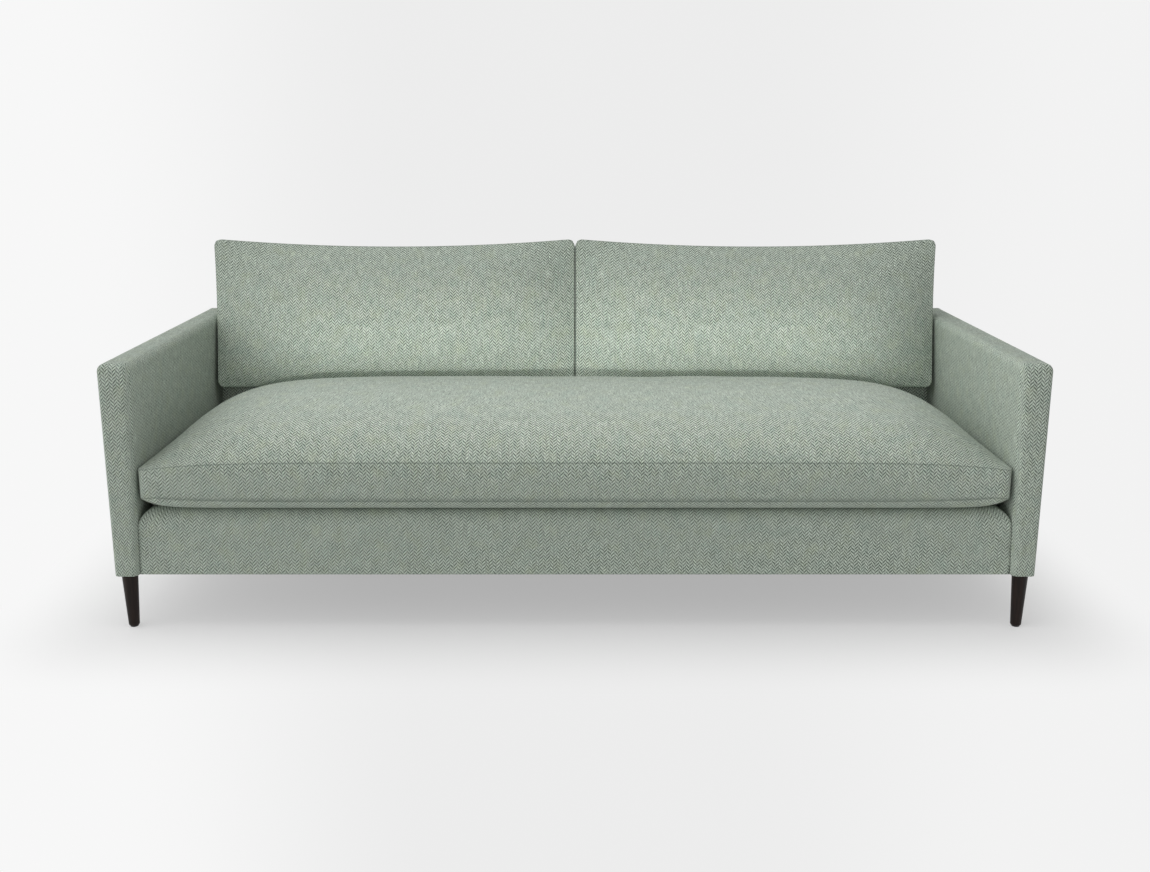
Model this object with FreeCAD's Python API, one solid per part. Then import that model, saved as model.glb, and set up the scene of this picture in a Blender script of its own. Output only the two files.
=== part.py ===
import FreeCAD, Part
import math
import os

from FreeCAD import Vector

# Four-seater sofa with thin tapered arms, a bench seat cushion and two loose back cushions.
# Millimetres. X runs along the width, -Y is the front, +Z is up, and the floor is at zero.
# Depths are measured from the arms' front plane towards the back.

# Overall sizes
overall_width = 2240.0
overall_depth = 940.0
arm_height = 664.0
underside_height = 138.0
deck_height = 304.0

# Cloth, foam and the small gaps between layers
cloth = 2.0
layer_gap = 0.5
hem_width = 16.0
cushion_cloth = 2.0
fill_gap = 0.8

# Arms
arm_foot_thickness = 59.0
arm_top_thickness = 78.0
arm_top_round = 20.0
arm_front_outer_round = 12.0
arm_front_inner_round = 22.0
arm_rear_round = 18.0
arm_bottom_round = 8.0
flat_for_round = 0.6
arm_side_padding = 6.0
arm_end_padding = 10.0
arm_top_padding = 12.0
arm_board = 3.0
arm_post_depth = 60.0
arm_top_rail_height = 30.0
arm_bottom_rail_height = 90.0

# Base frame and front border
border_setback = 15.0
border_roll = 60.0
border_corner = 45.0
border_top_depth = 110.0
border_padding = 10.0
timber = 28.0
base_rail_height = 110.0
base_end_gap = 0.5
stretcher_height = 60.0
stretcher_spacing = 700.0
corner_block_leg = 80.0

# Seat deck
deck_pad_thickness = 14.0
insulator_thickness = 3.0
deck_side_gap = 4.0

# Serpentine springs
spring_count = 12
spring_wire = 3.6
spring_loop_width = 46.0
spring_loops = 7
clip_width = 30.0
clip_length = 22.0
clip_thickness = 1.6
tie_wire = 2.6
tie_wire_count = 2

# Seat cushion
seat_front_setback = 3.0
seat_side_gap = 4.0
seat_lower_seam = 48.0
seat_band = 72.0
seat_crown = 122.0
seat_crown_share = 0.48
seat_knee_depth = 120.0
seat_knee_share = 0.69
seat_roll = 50.0
seat_belly_length = 28.0
seat_corner_drop = 18.0
seat_corner_round = 20.0
seat_rest_gap = 0.5
seat_rear_gap = 5.0

# Back cushions
back_lean = 10.4
back_band = 72.0
back_front_crown = 97.0
back_rear_crown = 25.0
back_crown_height = 150.0
back_height = 427.0
back_dip = 22.0
back_corner_round = 16.0
back_middle_gap = 2.0
back_arm_gap = 3.0
back_rest_gap = 0.6

# How a cushion swells from its side band towards its middle
swell_length = 130.0
swell_power = 1.15
least_swell = 1.0
cover_section_count = 7
lining_section_count = 4
lining_chord_count = 4

# Back frame
back_foot_thickness = 175.0
back_front_round = 25.0
back_rear_round = 18.0
back_padding = 25.0
back_top_padding = 12.0
webbing_thickness = 1.6
webbing_width = 60.0
webbing_count = 4
rib_thickness = 18.0
rib_count = 5
back_board = 3.0
back_top_rail_height = 40.0
back_return = 20.0

# Legs
leg_top_radius = 19.5
leg_foot_radius = 13.0
leg_inset = 28.0
glide_height = 4.0
glide_radius = 11.0
glide_draft = 1.0
dust_cover = 1.2
dust_cover_inset = 24.0
dust_cut_clearance = 1.5
hanger_radius = 4.0
hanger_in_leg = 32.0
hanger_in_post = 40.0
insert_radius = 6.0
insert_length = 26.0
thread_clearance = 0.2
hole_end_clearance = 1.0

# Bolts that hold the arms to the base
arm_bolt_radius = 4.0
arm_bolt_head_radius = 8.0
arm_bolt_head = 4.0
arm_bolt_spacing = 560.0
arm_bolt_count = 2
arm_bolt_height = 185.0
bolt_hole_clearance = 0.5
arm_bolt_reach = 26.0

# Zips
zip_width = 6.0
zip_thickness = 1.6
zip_end_margin = 220.0
slider_length = 14.0
slider_width = 10.0
slider_thickness = 3.0
slider_tab = 24.0
zip_slider_gap = 0.4

# Derived places
half_width = overall_width / 2
front_y = -overall_depth / 2
rear_y = overall_depth / 2
timber_bottom = underside_height + cloth
rail_top = timber_bottom + base_rail_height
lean = math.radians(back_lean)
deck_bottom = deck_height - cloth - deck_pad_thickness - insulator_thickness
spring_seat = rail_top + clip_thickness
spring_arch = deck_bottom - layer_gap - spring_seat - spring_wire
front_rail_depth = border_setback + cloth + border_padding
base_inner_half = half_width - arm_foot_thickness - timber - deck_side_gap * 2
seat_bottom = deck_height + seat_rest_gap
deck_rear = overall_depth - back_foot_thickness
seat_rear = deck_rear - seat_rear_gap
seat_depth = seat_rear - seat_front_setback
seat_crown_depth = seat_front_setback + seat_crown_share * seat_depth
clip_pitch = 2 * base_inner_half / spring_count

os.makedirs("parts", exist_ok=True)


# General helpers

def at(x, depth, z):
    """A point from its place along the width, its depth behind the arms' front and its height."""
    return Vector(x, front_y + depth, z)


def block(x0, x1, d0, d1, z0, z1):
    return Part.makeBox(x1 - x0, d1 - d0, z1 - z0, at(x0, d0, z0))


def mirrored(shape):
    return shape.mirror(Vector(0, 0, 0), Vector(1, 0, 0))


def rod(start, end, radius):
    run = end.sub(start)
    return Part.makeCylinder(radius, run.Length, start, run)


def save(name, shapes):
    """Writes one named sub-part, a single solid or a group of equal ones."""
    group = shapes if isinstance(shapes, list) else [shapes]
    solids = [solid for shape in group for solid in shape.Solids]
    shape = solids[0] if len(solids) == 1 else Part.makeCompound(solids)
    shape.exportStep("parts/%s.step" % name)


def rounded_face(corners, place, flat=False):
    """A face from (u, v, radius) corners in order; a flat face cuts its corners straight."""
    edges = []
    joints = []
    count = len(corners)
    for i in range(count):
        u, v, radius = corners[i]
        before = corners[i - 1]
        after = corners[(i + 1) % count]
        into = Vector(before[0] - u, before[1] - v, 0).normalize()
        out = Vector(after[0] - u, after[1] - v, 0).normalize()
        corner = Vector(u, v, 0)
        half = into.getAngle(out) / 2
        reach = radius * flat_for_round if flat else radius / math.tan(half)
        middle = into.add(out).normalize().multiply(radius / math.sin(half) - radius)
        joints.append((corner + into * reach, corner + middle, corner + out * reach))
    for i in range(count):
        start, middle, end = joints[i]
        if corners[i][2] > 0 and flat:
            edges.append(line((start.x, start.y), (end.x, end.y), place))
        elif corners[i][2] > 0:
            arc = Part.Arc(place(start.x, start.y), place(middle.x, middle.y), place(end.x, end.y))
            edges.append(arc.toShape())
        following = joints[(i + 1) % count][0]
        if end.distanceToPoint(following) > 1e-6:
            edges.append(line((end.x, end.y), (following.x, following.y), place))
    return Part.Face(Part.Wire(edges))


def across(corners, x0, x1):
    """Extrudes a (depth, height, radius) profile along the width."""
    face = rounded_face(corners, lambda d, z: at(x0, d, z))
    return face.extrude(Vector(x1 - x0, 0, 0))


def arm_inner_x(z):
    """Where an arm's inner face is at a height."""
    rise = (z - underside_height) / (arm_height - underside_height)
    thickness = arm_foot_thickness + (arm_top_thickness - arm_foot_thickness) * rise
    return half_width - thickness


def between_arms(low, high, inset=0.0, corner=0.0):
    """A prism that fills the room between the arms from one height to another."""
    wide = arm_inner_x(low) - base_end_gap - inset
    narrow = arm_inner_x(high) - base_end_gap - inset
    corners = [(-wide, low, 0), (wide, low, 0), (narrow, high, corner), (-narrow, high, corner)]
    face = rounded_face(corners, lambda x, z: Vector(x, front_y - overall_depth, z))
    return face.extrude(Vector(0, 3 * overall_depth, 0))


def swell(edge):
    """How full a cushion is at a distance from its side band, from flat to full."""
    return 1 - math.exp(-(edge / swell_length) ** swell_power)


def corner_inset(edge, radius):
    """How far a rounded corner draws its edge in, at a distance from the side."""
    if edge >= radius:
        return 0.0
    return radius - math.sqrt(radius ** 2 - (radius - edge) ** 2)


def cover_stations(half, corner, count):
    """Distances from a cushion's side to its sections, each step a steady share wider."""
    near = [0.0, 0.25 * corner, 0.6 * corner]
    return near + [corner * (half / corner) ** (i / count) for i in range(count)] + [half]


def across_stations(half, near):
    """Each section's place across a cushion and its distance from the nearer side."""
    left = [(edge, edge) for edge in near]
    right = [(2 * half - edge, edge) for edge in reversed(near) if edge < half]
    return left + right


def level_arc(start, end, level_first, place):
    """An arc in a section's plane that is level at one of its two ends."""
    apex, other = (start, end) if level_first else (end, start)
    run = other[0] - apex[0]
    drop = apex[1] - other[1]
    radius = (run ** 2 + drop ** 2) / (2 * abs(drop))
    half = math.asin(min(1.0, abs(run) / radius)) / 2
    along = math.copysign(radius * math.sin(half), run)
    down = math.copysign(radius * (1 - math.cos(half)), drop)
    middle = (apex[0] + along, apex[1] - down)
    return Part.Arc(place(*start), place(*middle), place(*end)).toShape()


def knee_arc(start, knee, end_slope, place):
    """An arc from a seam up to a knee where it has a given slope."""
    run = knee[0] - start[0]
    rise = knee[1] - start[1]
    chord = math.hypot(run, rise)
    turn = math.atan2(rise, run) - end_slope
    bulge = chord / 2 * math.tan(turn / 2)
    middle = ((start[0] + knee[0]) / 2 - rise / chord * bulge, (start[1] + knee[1]) / 2 + run / chord * bulge)
    return Part.Arc(place(*start), place(*middle), place(*knee)).toShape()


def line(start, end, place):
    return Part.LineSegment(place(*start), place(*end)).toShape()


def section_wire(edges, chords):
    """A section's wire; with chords, a polygon that follows each edge by that many straight runs."""
    if not chords:
        return Part.Wire(edges)
    points = []
    for edge in edges:
        runs = 1 if edge.Curve.TypeId == "Part::GeomLine" else chords
        points += edge.discretize(runs + 1)[:-1]
    return Part.makePolygon(points + points[:1])


def loft(wires):
    return Part.makeLoft(wires, True, True)


def hollow(outer, inner):
    """A closed solid with the inner form as its cavity; the inner form lies clear inside it."""
    cavity = inner.Shells[0].copy()
    cavity.reverse()
    return Part.makeSolid(Part.makeCompound([outer.Shells[0], cavity]))


# Arms

def arm_profile(inset, low_radius, high_radius):
    """The arm's front outline as (x, z, radius) corners."""
    low = underside_height + inset
    high = arm_height - inset
    outer = half_width - inset
    low_inner = arm_inner_x(low) + inset
    high_inner = arm_inner_x(high) + inset
    return [(outer, low, low_radius), (outer, high, high_radius),
            (high_inner, high, high_radius), (low_inner, low, low_radius)]


def arm_form():
    """The right arm's outer form, rounded at every edge."""
    face = rounded_face(arm_profile(0, 0, 0), lambda x, z: Vector(x, front_y, z))
    form = face.extrude(Vector(0, overall_depth, 0))
    for edge in form.Edges:
        first, last = edge.Vertexes[0].Point, edge.Vertexes[-1].Point
        if abs(first.z - last.z) < arm_height / 2:
            continue
        radius = arm_rear_round
        if first.y < 0:
            radius = arm_front_outer_round if abs(first.x - half_width) < 1 else arm_front_inner_round
        form = form.makeFillet(radius, [matching(form, edge)])
    for level, radius in ((arm_height, arm_top_round), (underside_height, arm_bottom_round)):
        rim = [edge for edge in form.Edges
               if edge.BoundBox.ZLength < 0.01 and abs(edge.BoundBox.ZMin - level) < 0.01]
        form = form.makeFillet(radius, rim)
    return form


def arm_inside(inset):
    """The room inside the arm's rounded form, with flats that stay clear of its rounds."""
    low = underside_height + inset
    high = arm_height - inset
    front = front_y + inset
    rear = rear_y - inset
    bottom = arm_bottom_round - inset
    top = arm_top_round - inset
    face = rounded_face(arm_profile(inset, bottom, top), lambda x, z: Vector(x, front_y, z), flat=True)
    along = face.extrude(Vector(0, overall_depth, 0))
    profile = [(inset, low, bottom), (inset, high, top), (overall_depth - inset, high, top),
               (overall_depth - inset, low, bottom)]
    side = rounded_face(profile, lambda d, z: at(0, d, z), flat=True).extrude(Vector(half_width, 0, 0))
    outer_plan = [(0, front, 0), (half_width - inset, front, arm_rear_round),
                  (half_width - inset, rear, arm_rear_round), (0, rear, 0)]
    upright = rounded_face(outer_plan, lambda x, y: Vector(x, y, 0), flat=True)
    upright = upright.extrude(Vector(0, 0, arm_height))
    inner = arm_inner_x(0) + inset
    inner_plan = [(inner, front, arm_front_inner_round), (2 * half_width, front, 0),
                  (2 * half_width, rear, 0), (inner, rear, arm_front_inner_round)]
    leaning = rounded_face(inner_plan, lambda x, y: Vector(x, y, 0), flat=True)
    leaning = leaning.extrude(Vector(arm_inner_x(arm_height) - arm_inner_x(0), 0, arm_height))
    return along.common(side).common(upright).common(leaning)


def matching(shape, wanted):
    """The edge of a shape that lies nearest to the middle of a wanted edge."""
    middle = wanted.valueAt((wanted.FirstParameter + wanted.LastParameter) / 2)
    point = Part.Vertex(middle)
    return min(shape.Edges, key=lambda edge: edge.distToShape(point)[0])


def arm_core(low, high, inner_cut, outer_cut):
    """A block inside the arm's padding; the cuts leave room for the boards."""
    outer = half_width - cloth - arm_side_padding - outer_cut
    inner = half_width - arm_foot_thickness + cloth + arm_side_padding + inner_cut
    front = cloth + arm_end_padding
    return block(inner, outer, front, overall_depth - front, low, high)


def arm_bolt_places():
    first = -arm_bolt_spacing * (arm_bolt_count - 1) / 2
    return [first + i * arm_bolt_spacing for i in range(arm_bolt_count)]


def arm_rail_face():
    """Where the arm's bottom rail starts, behind its cloth, padding and inner board."""
    return half_width - arm_foot_thickness + cloth + arm_side_padding + arm_board


def arm_bolt_holes(radius):
    """Rods through the arm's inner side, where its bolts pass."""
    start = base_inner_half - timber
    end = arm_rail_face() + arm_bolt_reach + layer_gap
    return [rod(Vector(start, y, arm_bolt_height), Vector(end, y, arm_bolt_height), radius)
            for y in arm_bolt_places()]


def without_bolt_holes(shape, radius):
    for hole in arm_bolt_holes(radius):
        shape = shape.cut(hole)
    return shape


def leg_centres():
    """The right arm's two leg centres."""
    x = half_width - leg_inset
    return [Vector(x, front_y + leg_inset, 0), Vector(x, rear_y - leg_inset, 0)]


def make_arm():
    """Every sub-part of the right arm by name."""
    pieces = {}
    core_top = arm_height - cloth - arm_top_padding
    core = arm_core(timber_bottom, core_top, 0, 0)
    hole_radius = arm_bolt_radius + bolt_hole_clearance

    cover = arm_form().cut(arm_inside(cloth))
    cover = cover.cut(block(arm_inner_x(underside_height) + hem_width, half_width - hem_width,
                            hem_width, overall_depth - hem_width, 0, timber_bottom))
    pieces["cover"] = without_bolt_holes(cover, hole_radius)

    padding = arm_inside(cloth + layer_gap).cut(core)
    pieces["padding"] = without_bolt_holes(padding, hole_radius)

    boards = arm_core(timber_bottom, core_top, 0, 0).cut(
        arm_core(timber_bottom, core_top, arm_board, arm_board))
    pieces["boards"] = without_bolt_holes(boards, hole_radius)

    rail_bottom = core_top - arm_top_rail_height
    inner = arm_core(timber_bottom, rail_bottom, arm_board, arm_board)
    ends = cloth + arm_end_padding + arm_post_depth
    room = block(0, half_width, ends, overall_depth - ends, 0, arm_height)
    posts = inner.cut(room)
    for centre in leg_centres():
        start = Vector(centre.x, centre.y, 0)
        end = Vector(centre.x, centre.y, timber_bottom + hanger_in_post + hole_end_clearance)
        posts = posts.cut(rod(start, end, insert_radius + thread_clearance))
    pieces["posts"] = posts

    pieces["top_rail"] = arm_core(rail_bottom, core_top, arm_board, arm_board)
    rail = arm_core(timber_bottom, timber_bottom + arm_bottom_rail_height, arm_board, arm_board)
    rail = rail.common(room)
    pieces["bottom_rail"] = without_bolt_holes(rail, insert_radius + thread_clearance)
    return pieces


# Base frame

def base_end_rail():
    """The right end rail, whose outer face leans with the arm."""
    rear = overall_depth - back_return - layer_gap
    rail = between_arms(timber_bottom, rail_top).common(
        block(base_inner_half, half_width, front_rail_depth, rear, timber_bottom, rail_top))
    return without_bolt_holes(rail, arm_bolt_radius + bolt_hole_clearance)


def cross_rail(depth, low, high):
    return block(-base_inner_half, base_inner_half, depth, depth + timber, low, high)


def back_rail_depth():
    return overall_depth - cloth - back_board - layer_gap - timber


def inside_back(z, inset=0.0):
    """The depth of the inside back's face at a height, or of a layer behind it."""
    return deck_rear + (z - deck_height) * math.tan(lean) + inset / math.cos(lean)


def rib_front(z):
    return inside_back(z, cloth + back_padding + webbing_thickness + 2 * layer_gap)


def spring_rail_depth():
    return rib_front(rail_top)


def stretchers():
    front = front_rail_depth + timber
    rear = back_rail_depth()
    rails = []
    for side in (-1, 1):
        x = side * stretcher_spacing / 2 - timber / 2
        low = timber_bottom
        rails.append(block(x, x + timber, front, rear, low, low + stretcher_height))
    return rails


def corner_blocks():
    """Glue blocks in the four inner corners of the base frame."""
    blocks = []
    low = timber_bottom
    front = front_rail_depth + timber
    rear = back_rail_depth()
    for side in (-1, 1):
        for depth, inward in ((front, 1), (rear, -1)):
            corner = at(side * base_inner_half, depth, low)
            along = at(side * (base_inner_half - corner_block_leg), depth, low)
            back = at(side * base_inner_half, depth + inward * corner_block_leg, low)
            face = Part.Face(Part.makePolygon([corner, along, back, corner]))
            blocks.append(face.extrude(Vector(0, 0, stretcher_height)))
    return blocks


# Seat suspension

def spring_height(share):
    """The wire's centre height along a spring, an even arch between its two clips."""
    return spring_seat + spring_wire / 2 + 4 * spring_arch * share * (1 - share)


def spring_path(x, start, end):
    """The bends of one serpentine spring from the front clip to the rear one."""
    pitch = (end - start) / (2 * spring_loops)
    half = spring_loop_width / 2
    points = []
    side = 1
    for i in range(2 * spring_loops + 1):
        depth = start + i * pitch
        lift = spring_height(i / (2 * spring_loops))
        if i == 0:
            points.append(at(x - side * half, depth, lift))
            points.append(at(x + side * half, depth, lift))
        else:
            points.append(at(x + side * half, depth - pitch / 3, lift))
        if i == 2 * spring_loops:
            points.append(at(x + side * half, depth, lift))
            points.append(at(x - side * half, depth, lift))
        else:
            points.append(at(x + side * half, depth + pitch / 3, lift))
        side = -side
    return points


def swept_wire(points, width):
    """A square-edged wire along straight runs, mitred at each bend."""
    path = Part.makePolygon(points)
    run = points[1].sub(points[0]).normalize()
    side = run.cross(Vector(0, 0, 1)).normalize() * (width / 2)
    lift = side.cross(run).normalize() * (width / 2)
    start = points[0]
    corners = [start + side + lift, start - side + lift, start - side - lift, start + side - lift]
    outline = Part.makePolygon(corners + corners[:1])
    return path.makePipeShell([outline], True, False, 1)


def spring_ends():
    front = front_rail_depth + timber / 2
    rear = spring_rail_depth() + timber / 2
    return front, rear


def spring_places():
    return [-base_inner_half + clip_pitch * (i + 0.5) for i in range(spring_count)]


def springs():
    front, rear = spring_ends()
    return [swept_wire(spring_path(x, front, rear), spring_wire) for x in spring_places()]


def spring_clip(x, depth, inward):
    """A folded steel clip: a plate on the rail that turns back over the spring's end run."""
    opening = spring_wire + layer_gap
    plate = block(x - clip_width / 2, x + clip_width / 2, depth - clip_length / 2,
                  depth + clip_length / 2, rail_top, spring_seat)
    lip = plate.copy()
    lip.translate(Vector(0, 0, clip_thickness + opening))
    edge = depth - inward * clip_length / 2
    web = block(x - clip_width / 2, x + clip_width / 2, min(edge, edge + inward * clip_thickness),
                max(edge, edge + inward * clip_thickness), rail_top,
                spring_seat + opening + clip_thickness)
    return plate.fuse([lip, web]).removeSplitter()


def clips():
    front, rear = spring_ends()
    found = []
    for x in spring_places():
        found.append(spring_clip(x, front, 1))
        found.append(spring_clip(x, rear, -1))
    return found


def tie_wires():
    """Wires that tie the springs together across the seat, just under them."""
    front, rear = spring_ends()
    wires = []
    for i in range(tie_wire_count):
        share = round(2 * spring_loops * (i + 1) / (tie_wire_count + 1)) / (2 * spring_loops)
        depth = front + (rear - front) * share
        z = spring_height(share) - spring_wire / 2 - tie_wire / 2 - layer_gap
        reach = spring_places()[-1] + spring_loop_width / 2
        wires.append(rod(at(-reach, depth, z), at(reach, depth, z), tie_wire / 2))
    return wires


# Border and deck upholstery

def border_form(inset, rear):
    """The padded front border: upright face, rolled top edge and rounded upper ends."""
    low = underside_height + inset
    high = deck_height - inset
    front = border_setback + inset
    profile = [(front, low, 0), (front, high, border_roll - inset), (rear, high, 0), (rear, low, 0)]
    form = across(profile, -half_width, half_width)
    return form.common(between_arms(low, high, inset, border_corner - inset))


def border_cover():
    cover = border_form(0, border_top_depth).cut(border_form(cloth, 2 * border_top_depth))
    opening = block(-half_width, half_width, border_setback + hem_width, 2 * border_top_depth,
                    0, timber_bottom)
    rail_room = block(-half_width, half_width, front_rail_depth, 2 * border_top_depth, timber_bottom, rail_top)
    return cover.cut(opening).cut(rail_room)


def border_foam():
    """Foam before the front rail and a roll over it, clear of the springs."""
    form = border_form(cloth + layer_gap, border_top_depth)
    front, rear = spring_ends()
    spring_top = spring_height((border_top_depth - front) / (rear - front)) + spring_wire
    return form.cut(block(-half_width, half_width, front_rail_depth, border_top_depth, 0, spring_top))


def deck_layer(low, high, front, rear):
    half = arm_inner_x(deck_height) - base_end_gap - deck_side_gap
    return block(-half, half, front, rear, low, high)


def dust_cloth():
    """The thin black cloth under the frame, cut square round the four legs."""
    x = half_width - dust_cover_inset
    low = underside_height - dust_cover
    sheet = block(-x, x, dust_cover_inset, overall_depth - dust_cover_inset, low, underside_height)
    clear = leg_inset + leg_top_radius + dust_cut_clearance
    for side in (-1, 1):
        for d0, d1 in ((0, clear), (overall_depth - clear, overall_depth)):
            inner, outer = side * (half_width - clear), side * half_width
            sheet = sheet.cut(block(min(inner, outer), max(inner, outer), d0, d1, 0, underside_height))
    return sheet


# Back frame and its upholstery

def back_outline(inset, low):
    """The back's section: leaning front, level top and upright rear."""
    high = arm_height - inset
    return [
        (inside_back(low, inset), low, 0),
        (inside_back(high, inset), high, back_front_round - inset),
        (overall_depth - inset, high, back_rear_round - inset),
        (overall_depth - inset, low, 0),
    ]


def trimmed(shape, inset=0.0):
    return shape.common(between_arms(underside_height, arm_height, inset))


def back_form_within(inset, low):
    """The back's form between the arms, or that of a layer inside it."""
    outline = across(back_outline(inset, low), -half_width, half_width)
    return trimmed(outline, inset)


def outside_back(extra=0.0):
    """The flat cloth behind the back, with a return at each end into the groove beside the arm."""
    high = arm_height - back_rear_round + extra
    front = overall_depth - back_return - extra
    panel = block(-half_width, half_width, front, overall_depth + extra, underside_height, high)
    room = block(-half_width, half_width, 0, overall_depth - cloth, 0, arm_height)
    return trimmed(panel).cut(trimmed(room, cloth + extra))


def inside_back_cloth():
    """The cloth over the leaning front, the top and the ends of the back."""
    cover = back_form_within(0, deck_height).cut(back_form_within(cloth, deck_height - cloth))
    return cover.cut(outside_back(layer_gap / 2))


def back_frame_front():
    return cloth + back_padding + 2 * layer_gap


def inside_back_foam():
    """Foam over the webbing and the top rail, inside the cloth."""
    outer = back_form_within(cloth + layer_gap, deck_height)
    z = arm_height - cloth - layer_gap - back_top_padding
    front = back_frame_front()
    inner = across([
        (inside_back(0, front), 0, 0),
        (inside_back(z, front), z, 0),
        (overall_depth, z, 0),
        (overall_depth, 0, 0),
    ], -half_width, half_width)
    return outer.cut(inner)


def back_rib(x):
    """An upright plywood rib, notched over the spring rail and the back rail."""
    low = timber_bottom + stretcher_height
    high = arm_height - cloth - 2 * layer_gap - back_top_padding - back_top_rail_height
    rear = back_rail_depth() + timber
    rib = across([
        (rib_front(low), low, 0),
        (rib_front(high), high, 0),
        (rear, high, 0),
        (rear, low, 0),
    ], x - rib_thickness / 2, x + rib_thickness / 2)
    rib = rib.cut(spring_rail())
    return rib.cut(cross_rail(back_rail_depth(), low, rail_top))


def ribs():
    """Ribs spread over the width, each midway between two springs."""
    gaps = [round(spring_count * (i + 1) / (rib_count + 1)) for i in range(rib_count)]
    return [back_rib(-base_inner_half + clip_pitch * gap) for gap in gaps]


def spring_rail():
    """The rail that holds the springs' rear clips; it stands on the stretchers."""
    return cross_rail(spring_rail_depth(), timber_bottom + stretcher_height, rail_top)


def back_top_rail():
    high = arm_height - cloth - 2 * layer_gap - back_top_padding
    low = high - back_top_rail_height
    rear = back_rail_depth() + timber
    return across([
        (rib_front(low), low, 0),
        (rib_front(high), high, 0),
        (rear, high, 0),
        (rear, low, 0),
    ], -base_inner_half, base_inner_half)


def webbing():
    """Elastic straps across the ribs' leaning front edges."""
    low = rail_top + webbing_width
    high = arm_height - back_top_rail_height - webbing_width
    step = (high - low) / (webbing_count - 1)
    straps = []
    for i in range(webbing_count):
        z = low + i * step
        reach = webbing_width / 2 * math.cos(lean)
        straps.append(across([
            (rib_front(z - reach) - webbing_thickness / math.cos(lean), z - reach, 0),
            (rib_front(z + reach) - webbing_thickness / math.cos(lean), z + reach, 0),
            (rib_front(z + reach), z + reach, 0),
            (rib_front(z - reach), z - reach, 0),
        ], -base_inner_half, base_inner_half))
    return straps


def rear_board():
    rear = overall_depth - cloth
    high = arm_height - back_rear_round - cloth
    half = base_inner_half
    return block(-half, half, rear - back_board - layer_gap / 2, rear - layer_gap / 2, timber_bottom, high)


# Seat cushion

def seat_section(x, edge, inset, chords):
    """The seat cushion's closed section at one place along the width."""
    full = swell(edge)
    rounding = corner_inset(edge, seat_corner_round)
    belly_share = 1 - math.exp(-(edge + cushion_cloth) / seat_belly_length)
    low_seam = seat_bottom + seat_lower_seam - seat_corner_drop * (1 - full)
    top_seam = low_seam + seat_band
    belly = (low_seam - seat_bottom) * belly_share - inset
    bottom = low_seam - max(belly, least_swell)
    front = seat_front_setback + rounding + inset
    rear = seat_rear - rounding - inset
    rise = max(seat_crown * full - inset, least_swell)
    peak = (seat_crown_depth, top_seam + rise)
    knee = (seat_knee_depth, top_seam + rise * seat_knee_share)
    run = peak[0] - knee[0]
    drop = peak[1] - knee[1]
    slope = math.asin(run / ((run ** 2 + drop ** 2) / (2 * drop)))
    place = lambda d, z: at(x, d, z)
    edges = [
        line((front, low_seam), (front, top_seam), place),
        knee_arc((front, top_seam), knee, slope, place),
        level_arc(knee, peak, False, place),
        level_arc(peak, (rear, top_seam), True, place),
        line((rear, top_seam), (rear, low_seam), place),
        level_arc((rear, low_seam), (rear - seat_roll, bottom), False, place),
        line((rear - seat_roll, bottom), (front + seat_roll, bottom), place),
        level_arc((front + seat_roll, bottom), (front, low_seam), True, place),
    ]
    return section_wire(edges, chords)


def seat_half():
    return arm_inner_x(seat_bottom + seat_lower_seam + seat_band) - seat_side_gap


def seat_form(inset, near, chords):
    half = seat_half() - inset
    stations = across_stations(half, near)
    return loft([seat_section(place - half, edge, inset, chords) for place, edge in stations])


def seat_top_circle():
    """Centre and radius of the arc behind the seat's crown, at the cushion's middle."""
    top_seam = seat_bottom + seat_lower_seam + seat_band
    run = seat_rear - seat_crown_depth
    radius = (run ** 2 + seat_crown ** 2) / (2 * seat_crown)
    return seat_crown_depth, top_seam + seat_crown - radius, radius


# Back cushions

def back_seam_foot():
    """Where a back cushion's lower front seam rests on the seat cushion."""
    reach = back_band + back_rear_crown + back_rest_gap
    start_d = inside_back(deck_height) - reach / math.cos(lean)
    centre_d, centre_z, radius = seat_top_circle()
    along_d, along_z = math.sin(lean), math.cos(lean)
    off_d = start_d - centre_d
    off_z = deck_height - centre_z
    b = off_d * along_d + off_z * along_z
    c = off_d ** 2 + off_z ** 2 - (radius + back_rest_gap) ** 2
    t = -b + math.sqrt(b ** 2 - c)
    return start_d + t * along_d, deck_height + t * along_z


def back_place(x, v, w):
    """A point of a back cushion: v up along its lean, w forward out of its front seam."""
    foot_d, foot_z = back_seam_foot()
    depth = foot_d + v * math.sin(lean) - w * math.cos(lean)
    return at(x, depth, foot_z + v * math.cos(lean) + w * math.sin(lean))


def back_section(x, edge, half, inset, chords):
    """A back cushion's closed section at one place along the width."""
    full = swell(edge)
    rounding = corner_inset(edge, back_corner_round)
    middle = 1 - ((half - edge) / half) ** 2
    low = rounding + inset
    high = back_height - back_dip * middle - rounding - inset
    front = -inset
    back = -back_band + inset
    front_apex = (back_crown_height, front + max(back_front_crown * full, least_swell))
    rear_apex = ((low + high) / 2, back - max(back_rear_crown * full, least_swell))
    place = lambda v, w: back_place(x, v, w)
    edges = [
        level_arc((low, front), front_apex, False, place),
        level_arc(front_apex, (high, front), True, place),
        line((high, front), (high, back), place),
        level_arc((high, back), rear_apex, False, place),
        level_arc(rear_apex, (low, back), True, place),
        line((low, back), (low, front), place),
    ]
    return section_wire(edges, chords)


def back_width():
    outer = arm_inner_x(arm_height) - back_arm_gap
    return outer - back_middle_gap / 2


def back_form(inset, near, chords):
    """The right back cushion's form."""
    start = back_middle_gap / 2 + inset
    half = back_width() / 2 - inset
    stations = across_stations(half, near)
    return loft([back_section(start + place, edge, half, inset, chords) for place, edge in stations])


# Cushion insides and zips

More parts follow.
